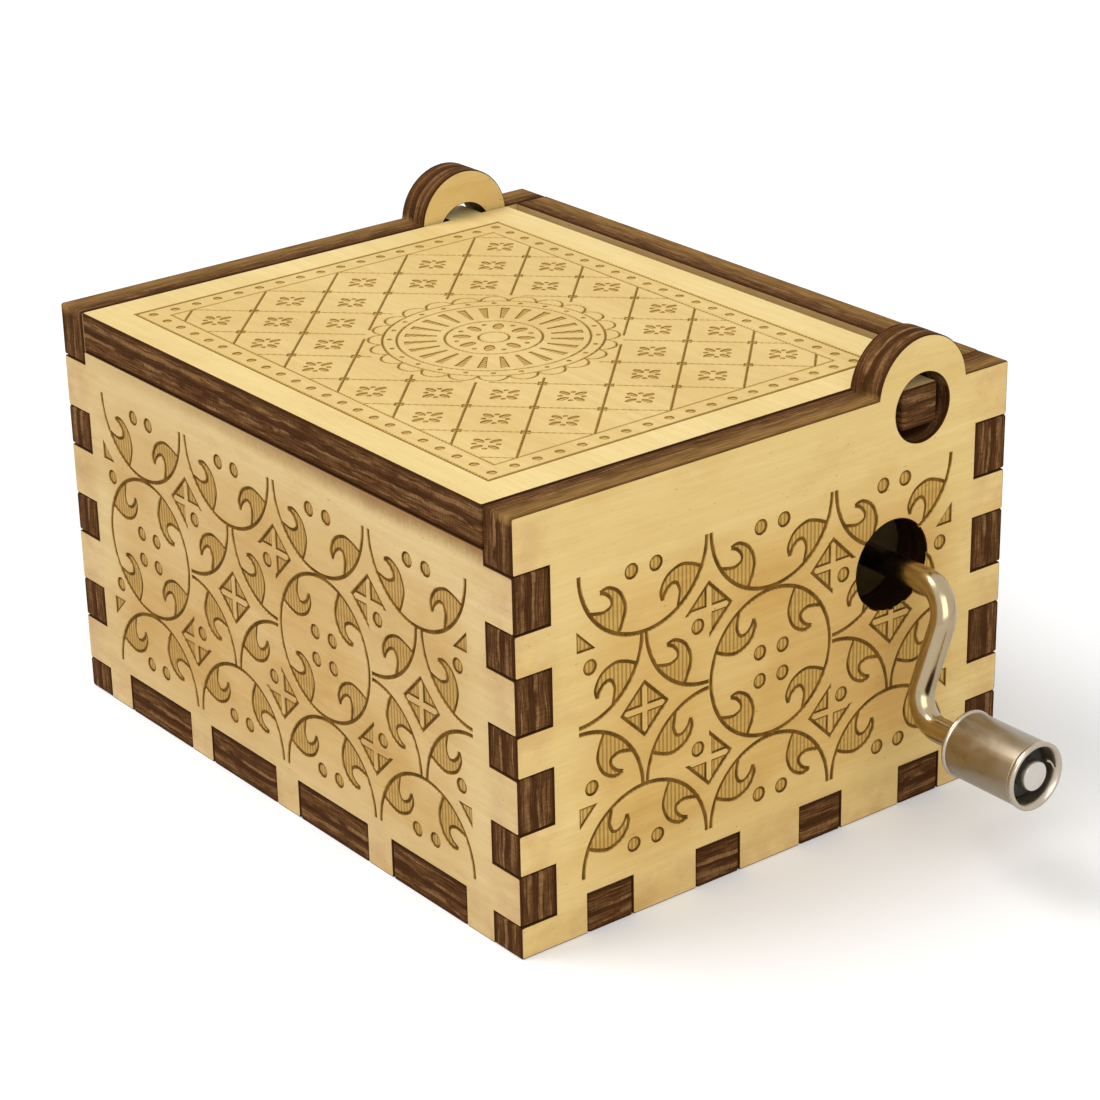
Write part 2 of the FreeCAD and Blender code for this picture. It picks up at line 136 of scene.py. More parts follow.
# --- Nodes ---------------------------------------------------------------------------------
class Tree:
    """Adds nodes to a node tree. An input is a value or the socket that feeds it."""

    def __init__(self, tree):
        self.tree = tree

    def add(self, kind, inputs=(), **settings):
        node = self.tree.nodes.new(kind)
        for name, value in settings.items():
            setattr(node, name, value)
        self.feed(node.inputs, dict(inputs))
        return node

    def feed(self, sockets, inputs):
        for key, value in inputs.items():
            if isinstance(value, bpy.types.NodeSocket):
                self.tree.links.new(value, sockets[key])
            else:
                sockets[key].default_value = value

    def math(self, operation, a, b=0.0, clamp=False):
        return self.add("ShaderNodeMath", {0: a, 1: b}, operation=operation, use_clamp=clamp).outputs[0]

    def plus(self, a, b):
        return self.math("ADD", a, b)

    def minus(self, a, b):
        return self.math("SUBTRACT", a, b)

    def times(self, a, b):
        return self.math("MULTIPLY", a, b)

    def larger(self, a, b):
        return self.math("MAXIMUM", a, b)

    def distance(self, a, b):
        return self.math("ABSOLUTE", self.minus(a, b))

    def ramp(self, value, low, high, to_low=0.0, to_high=1.0):
        """A smooth step of value from low to high."""
        return self.add("ShaderNodeMapRange", {"Value": value, "From Min": low, "From Max": high,
                                               "To Min": to_low, "To Max": to_high},
                        interpolation_type="SMOOTHSTEP").outputs["Result"]

    def mix(self, factor, a, b, blend="MIX"):
        return self.add("ShaderNodeMix", {"Factor": factor, 6: a, 7: b}, data_type="RGBA",
                        blend_type=blend).outputs[2]

    def tinted(self, colour, tint):
        """A colour times the red, green and blue of a tint."""
        return self.mix(1.0, colour, rgba(tint), "MULTIPLY")

    def stained(self, mask, colour, tint):
        """A colour that takes the tint where the mask is one."""
        return self.mix(mask, colour, self.tinted(colour, tint))

    def split(self, vector):
        return self.add("ShaderNodeSeparateXYZ", {0: vector}).outputs

    def noise(self, vector, scale, detail=3.0, roughness=0.55):
        return self.add("ShaderNodeTexNoise", {"Vector": vector, "Scale": scale, "Detail": detail,
                                               "Roughness": roughness}).outputs["Fac"]

    def drawn_noise(self, vector, scale, detail=3.0, roughness=0.55, start=(0, 0, 0)):
        """Noise with a scale of its own along each axis."""
        place = self.add("ShaderNodeMapping", {"Vector": vector, "Scale": scale, "Location": start})
        return self.noise(place.outputs[0], 1.0, detail, roughness)

    def bump(self, height, distance, strength):
        return self.add("ShaderNodeBump", {"Height": height, "Distance": distance,
                                           "Strength": strength}).outputs[0]


def rgba(colour, factor=1.0):
    return (colour[0] * factor, colour[1] * factor, colour[2] * factor, 1.0)


def toned(colour, tint):
    return [part * factor for part, factor in zip(colour, tint)]


VECTOR, COLOUR, VALUE = "NodeSocketVector", "NodeSocketColor", "NodeSocketFloat"
WOOD_OUT = (("Color", COLOUR), ("Roughness", VALUE), ("Height", VALUE))
METAL_OUT = (("Roughness", VALUE), ("Height", VALUE), ("Shade", VALUE))


def node_group(name, inputs, outputs):
    """A new shader group with named sockets, and its tree, input and output sockets."""
    group = bpy.data.node_groups.new(name, "ShaderNodeTree")
    for label, kind, value in inputs:
        socket = group.interface.new_socket(name=label, in_out="INPUT", socket_type=kind)
        if value is not None:
            socket.default_value = value
    for label, kind in outputs:
        group.interface.new_socket(name=label, in_out="OUTPUT", socket_type=kind)
    tree = Tree(group)
    return group, tree, tree.add("NodeGroupInput").outputs, tree.add("NodeGroupOutput").inputs


def placed(tree, name, maker, inputs):
    """A group node with its inputs fed. The group is made the first time."""
    group = bpy.data.node_groups.get(name) or maker(name)
    return tree.add("ShaderNodeGroup", inputs, node_tree=group).outputs


def veneer_group(name):
    """Birch veneer seen on its face, with the grain along the first axis."""
    group, tree, given, out = node_group(
        name, [("Sheet", VECTOR, None), ("Birch", COLOUR, (0.68, 0.47, 0.18, 1)), ("Streaks", VALUE, 1.0)],
        WOOD_OUT)
    sheet, base = given["Sheet"], given["Birch"]
    broad = tree.drawn_noise(sheet, (0.012, 0.1, 0.1), 2.0)
    streak = tree.drawn_noise(sheet, (0.035, 1.1, 1.1), 4.0, 0.65)
    fibre = tree.drawn_noise(sheet, (0.3, 8.0, 8.0), 3.0, 0.6)
    hair = tree.drawn_noise(sheet, (1.1, 5.0, 5.0), 3.0, 0.7, (3, 9, 5))
    pore = tree.drawn_noise(sheet, (1.6, 4.0, 4.0), 1.0, start=(7, 3, 1))
    dark = tree.tinted(base, (0.86, 0.79, 0.64))
    pale = tree.tinted(base, (1.05, 1.06, 1.1))
    colour = tree.mix(tree.ramp(broad, 0.3, 0.7), tree.mix(0.35, base, dark), pale)
    amount = tree.times(given["Streaks"], 0.35)
    colour = tree.mix(tree.times(tree.ramp(streak, 0.62, 0.4), amount), colour, dark)
    colour = tree.mix(tree.times(tree.ramp(fibre, 0.6, 0.38), 0.26), colour, dark)
    colour = tree.mix(tree.times(tree.ramp(hair, 0.56, 0.7), 0.3), colour, dark)
    flecks = tree.times(tree.ramp(pore, 0.735, 0.79), 0.6)
    height = tree.plus(tree.times(fibre, 0.6), tree.times(streak, 0.4))
    tree.feed(out, {"Color": tree.mix(flecks, colour, tree.tinted(base, (0.45, 0.32, 0.18))),
                    "Roughness": tree.ramp(fibre, 0.3, 0.7, 0.62, 0.5),
                    "Height": tree.minus(height, tree.times(flecks, 0.8))})
    return group


def edge_group(name):
    """The laser-cut edge of three-layer ply. The third axis runs through the sheet."""
    group, tree, given, out = node_group(
        name, [("Sheet", VECTOR, None), ("Char", COLOUR, (0.12, 0.05, 0.02, 1)), ("Soot", VALUE, 0.0)],
        WOOD_OUT)
    sheet, char = given["Sheet"], given["Char"]
    x, y, z = tree.split(sheet)
    along = tree.plus(x, y)
    depth = tree.times(z, -1.0)
    wobble = tree.drawn_noise(sheet, (0.3, 0.3, 0.1))
    bent = tree.plus(depth, tree.times(tree.minus(wobble, 0.5), 0.5))

    def streaks(scale_along, scale_depth, start, detail=3.0):
        place = tree.add("ShaderNodeCombineXYZ", {0: tree.times(along, scale_along), 1: start,
                                                  2: tree.times(bent, scale_depth)})
        return tree.noise(place.outputs[0], 1.0, detail, 0.6)

    ragged = streaks(0.2, 3.6, 9.0)
    fine = streaks(0.32, 9.0, 2.0, 4.0)
    pits = streaks(5.5, 1.2, 7.0)
    patch = tree.noise(sheet, 0.25)
    black = tree.tinted(char, (0.4, 0.33, 0.33))
    brown = tree.tinted(char, (1.5, 1.6, 1.75))
    tan = tree.tinted(char, (2.7, 3.3, 4.3))
    # The outer plies burn brown in streaks, and the middle one, in end grain, nearly black.
    plies = 0.0
    for at, half in ((0.75, 0.7), (2.62, 0.75)):
        plies = tree.larger(plies, tree.ramp(tree.distance(bent, at), half, half * 0.45))
    grain = tree.times(tree.ramp(fine, 0.4, 0.6, 0.1, 1.0), tree.ramp(patch, 0.3, 0.6, 0.45, 1.0))
    colour = tree.mix(tree.times(tree.larger(plies, 0.25), grain), black, brown)
    pale = tree.times(tree.ramp(ragged, 0.55, 0.68), tree.larger(plies, 0.3))
    # Pale lines show unburnt wood beside the glue: their depth, half width and strength.
    jagged = tree.plus(bent, tree.times(tree.minus(ragged, 0.5), 0.9))
    gaps = streaks(0.2, 0.6, 23.0)
    for at, half, strength in ((0.85, 0.24, 0.8), (1.95, 0.2, 1.0)):
        line = tree.ramp(tree.distance(jagged, at), half, half * 0.4, 0.0, strength)
        pale = tree.larger(pale, tree.times(line, tree.ramp(gaps, 0.42, 0.56)))
    colour = tree.mix(tree.times(pale, 0.75), colour, tan)
    colour = tree.mix(tree.times(tree.ramp(pits, 0.58, 0.42), 0.35), colour, black)
    # Painted top light: the upright panels' top edges are made lighter, most towards their outer face, as
    # if lit from above.
    top = tree.times(tree.ramp(y, 35.9, 36.4), tree.ramp(y, 37.2, 36.8))
    top = tree.times(top, tree.ramp(tree.plus(bent, tree.times(ragged, 0.9)), 3.2, 1.2))
    light = tree.mix(tree.ramp(fine, 0.35, 0.65), tree.tinted(char, (1.3, 1.5, 1.4)),
                     tree.tinted(char, (2.9, 3.7, 3.6)))
    colour = tree.mix(tree.times(top, 0.8), colour, light)
    rim = tree.larger(tree.ramp(depth, 0.28, 0.1), tree.ramp(depth, 3.15, 3.3))
    colour = tree.mix(tree.times(rim, 0.6), colour, black)
    # Painted shade: the last input turns the edge nearly black on the walls of shaded holes.
    tree.feed(out, {"Color": tree.mix(given["Soot"], colour, tree.tinted(char, (0.09, 0.09, 0.11))),
                    "Roughness": tree.ramp(fine, 0.3, 0.7, 0.85, 0.62),
                    "Height": tree.plus(tree.times(ragged, 0.5), tree.times(pits, 0.5))})
    return group


def smoke_group(name):
    """Soft brown stains that the smoke from the cutting left on the veneer."""
    group, tree, given, out = node_group(
        name, [("Sheet", VECTOR, None), ("Color", COLOUR, (1, 1, 1, 1)), ("Amount", VALUE, 1.0)],
        [("Color", COLOUR)])
    patch = tree.drawn_noise(given["Sheet"], (0.09, 0.2, 0.2), 4.0, 0.65, (3, 8, 2))
    mask = tree.math("MULTIPLY", tree.ramp(patch, 0.45, 0.75), given["Amount"], clamp=True)
    tree.feed(out, {"Color": tree.stained(mask, given["Color"], (0.82, 0.7, 0.52))})
    return group


def scratch_group(name):
    """Fine lines along the first axis, with soft smears, for drawn and ground metal."""
    group, tree, given, out = node_group(
        name, [("Vector", VECTOR, None), ("Rough low", VALUE, 0.15), ("Rough high", VALUE, 0.35),
               ("Along", VALUE, 0.1)],
        METAL_OUT)
    squeeze = tree.add("ShaderNodeCombineXYZ", {0: given["Along"], 1: 9.0, 2: 9.0}).outputs[0]
    lined = tree.add("ShaderNodeVectorMath", {0: given["Vector"], 1: squeeze}, operation="MULTIPLY")
    lines = tree.noise(lined.outputs[0], 1.0, 4.0, 0.7)
    smear = tree.noise(given["Vector"], 0.7, 3.0, 0.6)
    rough = tree.plus(tree.times(lines, 0.5), tree.times(smear, 0.5))
    ranged = tree.add("ShaderNodeMapRange", {"Value": rough, "From Min": 0.35, "From Max": 0.65,
                                             "To Min": given["Rough low"], "To Max": given["Rough high"]})
    tree.feed(out, {"Roughness": ranged.outputs[0], "Height": lines,
                    "Shade": tree.ramp(smear, 0.3, 0.7, 0.82, 1.0)})
    return group


def cast_group(name):
    """The fine pebbled skin of a die casting or a moulding."""
    group, tree, given, out = node_group(name, [("Vector", VECTOR, None), ("Grain", VALUE, 3.0)], METAL_OUT)
    fine = tree.noise(given["Vector"], given["Grain"], 3.0, 0.6)
    broad = tree.noise(given["Vector"], 0.25, 3.0, 0.5)
    tree.feed(out, {"Roughness": tree.ramp(fine, 0.3, 0.7, 0.35, 0.6), "Height": fine,
                    "Shade": tree.ramp(broad, 0.3, 0.7, 0.8, 1.0)})
    return group


# --- Materials -----------------------------------------------------------------------------
def new_material(name):
    """A material with a Principled BSDF, and its tree and the shader's inputs."""
    material = bpy.data.materials.new(name)
    material.use_nodes = True
    return material, Tree(material.node_tree), material.node_tree.nodes["Principled BSDF"].inputs


def sheet_place(tree):
    """The panel's own coordinates in mm: along, across, and out of its outer face."""
    return tree.add("ShaderNodeAttribute", attribute_name="sheet").outputs["Vector"]


def veneer_material(name, tint, stain, shade, shift):
    """The bare face of a panel. shade(tree, sheet, colour, shift) may darken parts of it."""
    material, tree, shader = new_material(name)
    sheet = sheet_place(tree)
    birch = rgba(toned(bpy.context.scene.music_box_case.birch, tint))
    wood = placed(tree, "Birch veneer", veneer_group, {"Sheet": sheet, "Birch": birch})
    colour = placed(tree, "Smoke stain", smoke_group,
                    {"Sheet": sheet, "Color": wood["Color"], "Amount": stain})["Color"]
    if shade:
        colour = shade(tree, sheet, colour, shift)
    tree.feed(shader, {"Base Color": colour, "Roughness": wood["Roughness"], "Specular IOR Level": 0.18,
                       "Normal": tree.bump(wood["Height"], 0.00006, 0.5)})
    return material


def edge_material(name):
    """The burnt edges of all panels."""
    material, tree, shader = new_material(name)
    # Painted shade: a point attribute darkens the edges inside the crank and pivot holes.
    hole_shade = tree.add("ShaderNodeAttribute", attribute_name="hole_shade").outputs["Fac"]
    char = rgba(bpy.context.scene.music_box_case.char)
    edge = placed(tree, "Burnt ply edge", edge_group,
                  {"Sheet": sheet_place(tree), "Char": char, "Soot": hole_shade})
    tree.feed(shader, {"Base Color": edge["Color"], "Roughness": edge["Roughness"],
                       "Specular IOR Level": 0.02, "Normal": tree.bump(edge["Height"], 0.0001, 0.6)})
    return material


def engraved_material(name, tint):
    """Engraved lines and hatched fills: the deeper a point lies under the face, the darker it is."""
    material, tree, shader = new_material(name)
    sizes = bpy.context.scene.music_box_case
    sheet = sheet_place(tree)
    x, _, z = tree.split(sheet)
    depth = tree.times(z, -1.0)
    wood = placed(tree, "Birch veneer", veneer_group,
                  {"Sheet": sheet, "Birch": rgba(toned(sizes.birch, tint)), "Streaks": 1.6})
    toast = tree.tinted(wood["Color"], (0.76, 0.65, 0.45))
    hatch_pitch = 0.4
    hatch = tree.ramp(tree.math("SINE", tree.times(x, 2 * math.pi / hatch_pitch)), -0.1, 0.8)
    colour = tree.mix(tree.times(hatch, 0.6), toast, rgba(sizes.engraved, 1.5))
    line = tree.ramp(depth, sizes.fill_depth + 0.005, sizes.line_depth - 0.035)
    burn = tree.drawn_noise(sheet, (0.8, 0.8, 0.8))
    darkest = tree.mix(tree.ramp(burn, 0.35, 0.65), rgba(sizes.engraved, 0.75), rgba(sizes.engraved, 1.35))
    colour = tree.mix(line, colour, darkest)
    rim = tree.ramp(depth, 0.0, sizes.fill_depth * 0.8)
    height = tree.minus(wood["Height"], hatch)
    tree.feed(shader, {"Base Color": tree.mix(rim, wood["Color"], colour), "Roughness": 0.75,
                       "Specular IOR Level": 0.06, "Normal": tree.bump(height, 0.00005, 0.6)})
    return material


def object_place(tree, turn=(0, 0, 0)):
    """Object coordinates in mm, turned so that a pattern's first axis follows the piece."""
    vector = tree.add("ShaderNodeTexCoord").outputs["Object"]
    return tree.add("ShaderNodeMapping", {"Vector": vector, "Scale": (1000, 1000, 1000),
                                          "Rotation": turn}).outputs[0]


def metal_material(name, colour, rough, along=0.1, turn=(0, 0, 0), bump=0.3):
    """Plated, drawn or machined metal with fine lines and soft smears."""
    material, tree, shader = new_material(name)
    marks = placed(tree, "Fine scratches", scratch_group,
                   {"Vector": object_place(tree, turn), "Rough low": rough[0], "Rough high": rough[1],
                    "Along": along})
    tree.feed(shader, {"Base Color": tree.mix(marks["Shade"], rgba(colour, 0.72), rgba(colour)),
                       "Roughness": marks["Roughness"], "Metallic": 1.0,
                       "Normal": tree.bump(marks["Height"], 0.00002, bump)})
    return material


def cast_material(name, colour, grain, metallic, dark, bump=0.4):
    """A casting or moulding with a pebbled skin."""
    material, tree, shader = new_material(name)
    skin = placed(tree, "Cast skin", cast_group, {"Vector": object_place(tree), "Grain": grain})
    tree.feed(shader, {"Base Color": tree.mix(skin["Shade"], rgba(colour, dark), rgba(colour)),
                       "Roughness": skin["Roughness"], "Metallic": metallic,
                       "Normal": tree.bump(skin["Height"], 0.00004, bump)})
    return material


# --- What the laser and use left on the panels ----------------------------------------------
def outer_face(tree, out):
    """One on a panel's outer face and none on its inner one, from its third coordinate."""
    return tree.ramp(out, -1.2, -0.8)


def wall_wear(tree, sheet, colour, shift, half, drawn, strength):
    """A brown haze over a wall's drawing, and a faint grey-brown darkening along its fingers and bottom
    edge.

    half is half the wall's length, and drawn is half the drawing's.
    """
    x, y, z = tree.split(sheet)
    middle, drawn_up = 17.0, 13.5
    across, up = tree.distance(x, shift), tree.distance(y, middle)
    box = tree.times(tree.ramp(across, drawn + 1.5, drawn - 5.0),
                     tree.ramp(up, drawn_up + 1.0, drawn_up - 5.0))
    drift = tree.ramp(tree.noise(sheet, 0.07), 0.32, 0.68, 0.4 * strength, strength)
    haze = tree.times(tree.times(box, outer_face(tree, z)), drift)
    colour = tree.stained(haze, colour, (0.82, 0.68, 0.46))
    near = tree.larger(tree.ramp(across, half - 5.0, half - 1.5), tree.ramp(y, 5.2, 1.5))
    edge_greying = tree.times(near, tree.ramp(tree.noise(sheet, 0.4), 0.35, 0.65, 0.2, 1.0))
    return tree.stained(edge_greying, colour, (0.88, 0.81, 0.83))


def back_shade(tree, sheet, colour, shift):
    """A wall's wear, and a browner, darker band along the top of the inner face, behind the lid."""
    colour = wall_wear(tree, sheet, colour, shift, HALF_LENGTH, 26.5, 1.0)
    _, y, z = tree.split(sheet)
    drift = tree.drawn_noise(sheet, (0.15, 0.5, 0.5))
    mask = tree.times(tree.ramp(z, -2.4, -2.8), tree.ramp(y, 29.5, 33.5))
    return tree.stained(tree.times(mask, tree.ramp(drift, 0.3, 0.7, 0.5, 1.0)), colour, (0.84, 0.68, 0.54))


def front_shade(tree, sheet, colour, shift):
    """A wall's wear, and smoke under the lid's edge."""
    colour = wall_wear(tree, sheet, colour, shift, HALF_LENGTH, 26.5, 1.0)
    x, y, z = tree.split(sheet)
    drift = tree.drawn_noise(sheet, (0.1, 0.0, 0.0), 2.0)
    brushed = tree.drawn_noise(sheet, (2.5, 1.2, 0.5))
    top = tree.plus(tree.plus(y, tree.times(drift, 1.6)), tree.times(brushed, 0.7))
    mask = tree.times(tree.ramp(top, 32.4, 34.3), tree.ramp(x, -34.0, 16.0, 0.1, 0.9))
    return tree.stained(tree.times(mask, outer_face(tree, z)), colour, (0.4, 0.27, 0.16))


def side_shade(tree, sheet, colour, shift):
    """A wall's wear, and a painted shadow of the crank's arm: a soft brown patch where it falls."""
    colour = wall_wear(tree, sheet, colour, shift, HALF_DEPTH, 20.0, 0.9)
    # Painted shadow of the crank's arm, centred between the crank's hole and its knob.
    crank_shadow_centre = (shift + 10.0, 17.0, 0)
    away = tree.add("ShaderNodeVectorMath", {0: sheet, 1: crank_shadow_centre}, operation="DISTANCE")
    near = tree.ramp(away.outputs["Value"], 15.0, 3.0, 0.0, 0.55)
    return tree.stained(tree.times(near, outer_face(tree, tree.split(sheet)[2])), colour, (0.87, 0.75, 0.6))


LID_MIDDLE, LID_DRAWING = (0, -2.5), (50, 39)


def lid_shade(tree, sheet, colour, shift):
    """The veneer inside the engraved frame, a little darker than the border round it."""
    x, y, z = tree.split(sheet)
    half_x, half_y = LID_DRAWING[0] / 2, LID_DRAWING[1] / 2
    back = tree.math("ABSOLUTE", tree.plus(y, -LID_MIDDLE[1]))
    inside = tree.times(tree.ramp(tree.math("ABSOLUTE", x), half_x, half_x - 0.1),
                        tree.ramp(back, half_y, half_y - 0.1))
    return tree.stained(tree.times(inside, outer_face(tree, z)), colour, (0.91, 0.86, 0.76))


# --- Meshes --------------------------------------------------------------------------------
def meshed(name, bm):
    mesh = bpy.data.meshes.new(name)
    bm.to_mesh(mesh)
    bm.free()
    return mesh


def linked(name, data):
    """A new object in the scene."""
    item = bpy.data.objects.new(name, data)
    bpy.context.scene.collection.objects.link(item)
    return item


def finished(name, bm, body, materials, nodes, smooth=35.0):
    """Makes a piece from a bmesh in mm, shaded smooth up to an angle."""
    bmesh.ops.scale(bm, vec=(MM, MM, MM), verts=bm.verts)
    mesh = meshed(name, bm)
    mesh.shade_smooth()
    mesh.set_sharp_from_angle(angle=math.radians(smooth))
    finished_mesh(name, mesh, body, materials, nodes)


def finished_mesh(name, mesh, body, materials, nodes):
    """Makes a piece from a mesh in metres, riding on its body in place of its CAD nodes."""
    while len(mesh.materials) < len(materials):
        mesh.materials.append(None)
    for index, material in enumerate(materials):
        mesh.materials[index] = material
    piece = linked(name, mesh)
    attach(piece, body)
    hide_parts(*nodes)


def in_mm(box):
    return [corner / MM for corner in box]


def merged_copy(node):
    """A CAD node as a closed bmesh in mm, with its flat faces whole."""
    bm = bmesh.new()
    bm.from_mesh(frame["nodes"][node].data)
    bmesh.ops.scale(bm, vec=(1 / MM, 1 / MM, 1 / MM), verts=bm.verts)
    bmesh.ops.remove_doubles(bm, verts=bm.verts, dist=0.003)
    bmesh.ops.dissolve_limit(bm, angle_limit=math.radians(0.6), verts=bm.verts, edges=bm.edges)
    return bm


def sharp_edges(bm, angle=35.0):
    limit = math.radians(angle)
    return [e for e in bm.edges if len(e.link_faces) == 2 and e.calc_face_angle(0) > limit]


def bevelled(bm, edges, offset, segments=2):
    return bmesh.ops.bevel(bm, geom=edges, offset=offset, offset_type="OFFSET", segments=segments,
                           profile=0.5, affect="EDGES", material=-1, clamp_overlap=True)


def edge_broken(node, finish, body, material, offset, angle=50, segments=1):
    """Makes a piece of a CAD node's own shape, with its sharp edges broken."""
    bm = merged_copy(node)
    if offset:
        bevelled(bm, sharp_edges(bm, angle), offset, segments)
    finished(node + finish, bm, body, [material], [node])


def turned(profile, start, axis, steps):
    """A closed solid turned from (distance along the axis, radius) pairs, in mm."""
    axis = Vector(axis)
    side = Vector((0, 0, 1)) if abs(axis.z) < 0.5 else Vector((1, 0, 0))
    bm = bmesh.new()
    verts = [bm.verts.new(Vector(start) + axis * along + side * radius) for along, radius in profile]
    edges = [bm.edges.new(pair) for pair in zip(verts, verts[1:])]
    if profile[0][1] > 0 and profile[-1][1] > 0:
        edges.append(bm.edges.new((verts[-1], verts[0])))
    bmesh.ops.spin(bm, geom=verts + edges, cent=start, axis=axis, angle=2 * math.pi, steps=steps,
                   use_merge=True, use_duplicate=False)
    bmesh.ops.remove_doubles(bm, verts=bm.verts, dist=0.0005)
    bmesh.ops.recalc_face_normals(bm, faces=bm.faces)
    return bm


def stamp(bm, mesh, matrix):
    """Adds a copy of a small mesh at a place."""
    count = len(bm.verts)
    bm.from_mesh(mesh)
    bm.verts.ensure_lookup_table()
    bmesh.ops.transform(bm, matrix=matrix, verts=bm.verts[count:])


def of_kind(geom, kind):
    return [item for item in geom if isinstance(item, kind)]


def section_start(bm, points, radius, segments, section=Matrix()):
    """A round face across the start of a line of points. Returns it and the line's first direction."""
    ahead = (points[1] - points[0]).normalized()
    turn = ahead.to_track_quat("Z", "X").to_matrix().to_4x4()
    made = bmesh.ops.create_circle(bm, cap_ends=True, segments=segments, radius=radius)
    bmesh.ops.transform(bm, matrix=Matrix.Translation(points[0]) @ turn @ section, verts=made["verts"])
    return bm.faces[:][0], ahead


def grown_face(bm, face, inner):
    """Extrudes a face. An inner one goes, so that the bar stays hollow between its two ends."""
    grown = bmesh.ops.extrude_face_region(bm, geom=[face])["geom"]
    if inner:
        bmesh.ops.delete(bm, geom=[face], context="FACES_ONLY")
    return of_kind(grown, BMFace)[0], of_kind(grown, BMVert)


# --- Engraving tools, in a panel's own axes -------------------------------------------------
def smooth_line(points, steps=5):
    """Points along one smooth curve through the given ones."""
    knots = [Vector(p) for p in points]
    line = [knots[0]]
    for i in range(len(knots) - 1):
        before = knots[max(i - 1, 0)]
        after = knots[min(i + 2, len(knots) - 1)]
        near = knots[i] + (knots[i + 1] - before) / 6
        far = knots[i + 1] - (after - knots[i]) / 6
        line += interpolate_bezier(knots[i], near, far, knots[i + 1], steps + 1)[1:]
    return [Vector((p[0], p[1], 0)) for p in line]


def as_tool(bm):
    bmesh.ops.recalc_face_normals(bm, faces=bm.faces)
    return meshed("tool", bm)


def groove(points, width, depth):
    """A bar along a line of points, to cut a round-bottomed groove."""
    bm = bmesh.new()
    face, ahead = section_start(bm, points, 1.0, 8, Matrix.Diagonal((depth, width / 2, 1, 1)))
    for i in range(1, len(points)):
        face, verts = grown_face(bm, face, i > 1)
        bmesh.ops.translate(bm, vec=points[i] - points[i - 1], verts=verts)
        after = (points[min(i + 1, len(points) - 1)] - points[i - 1]).normalized()
        angle = math.atan2(ahead.x * after.y - ahead.y * after.x, ahead.dot(after))
        bmesh.ops.rotate(bm, cent=points[i], matrix=Matrix.Rotation(angle, 3, "Z"), verts=verts)
        ahead = after
    return as_tool(bm)


def arc_groove(radius, start, sweep, width, depth, steps=0):
    """A groove tool along an arc about the origin. A full turn is closed, and few steps make it angular."""
    bm = bmesh.new()
    whole = abs(sweep) >= 359.9
    made = bmesh.ops.create_circle(bm, cap_ends=not whole, segments=8, radius=1.0)
    upright = Matrix.Rotation(math.radians(90), 4, "X")
    bmesh.ops.transform(bm, matrix=Matrix.Diagonal((width / 2, 1, depth, 1)) @ upright, verts=made["verts"])
    bmesh.ops.translate(bm, vec=(radius, 0, 0), verts=bm.verts)
    turn = Matrix.Rotation(math.radians(start), 3, "Z")
    bmesh.ops.rotate(bm, cent=(0, 0, 0), matrix=turn, verts=bm.verts)
    chord = 0.35
    steps = steps or max(6, int(math.radians(abs(sweep)) * radius / chord))
    bmesh.ops.spin(bm, geom=bm.verts[:] + bm.edges[:] + bm.faces[:], cent=(0, 0, 0), axis=(0, 0, 1),
                   angle=math.radians(sweep), steps=steps, use_merge=whole, use_duplicate=False)
    bmesh.ops.remove_doubles(bm, verts=bm.verts, dist=0.0005)
    return as_tool(bm)


def block(outline, depth):
    """A block from over the face down to a depth, and its bottom."""
    bm = bmesh.new()
    face = bm.faces.new([bm.verts.new((p[0], p[1], STAND_OUT)) for p in outline])
    grown = bmesh.ops.extrude_face_region(bm, geom=[face])["geom"]
    bmesh.ops.translate(bm, vec=(0, 0, -STAND_OUT - depth), verts=of_kind(grown, BMVert))
    return bm, of_kind(grown, BMFace)


def pocket(outline, depth):
    """A tool for a flat-bottomed area inside an outline."""
    return as_tool(block(outline, depth)[0])


def sunk(outline, line_depth, fill_depth, line):
    """A tool for an outlined area: deepest along its border, shallower inside."""
    bm, bottom = block(outline, line_depth)
    bmesh.ops.recalc_face_normals(bm, faces=bm.faces)
    bmesh.ops.inset_region(bm, faces=bottom, thickness=line, depth=0.0, use_even_offset=True,
                           use_boundary=True)
    inner = {vert for face in bottom for vert in face.verts}
    bmesh.ops.translate(bm, vec=(0, 0, line_depth - fill_depth), verts=list(inner))
    return as_tool(bm)


def spot(radius, count=16):
    turns = [2 * math.pi * i / count for i in range(count)]
    return [(radius * math.cos(a), radius * math.sin(a)) for a in turns]


def almond(start, length, half):
    """The outline of a small pointed leaf along the first axis."""
    turns = [2 * math.pi * k / 12 for k in range(12)]
    return [(start + length / 2 * (1 - math.cos(a)), half * math.sin(a)) for a in turns]


def arc_points(radius, start, end):
    """Points on a circle about the origin, between the directions of two points."""
    first = math.atan2(start.y, start.x)
    last = math.atan2(end.y, end.x)
    turns = [first + (last - first) * i / 6 for i in range(7)]
    return [Vector((radius * math.cos(a), radius * math.sin(a), 0)) for a in turns]


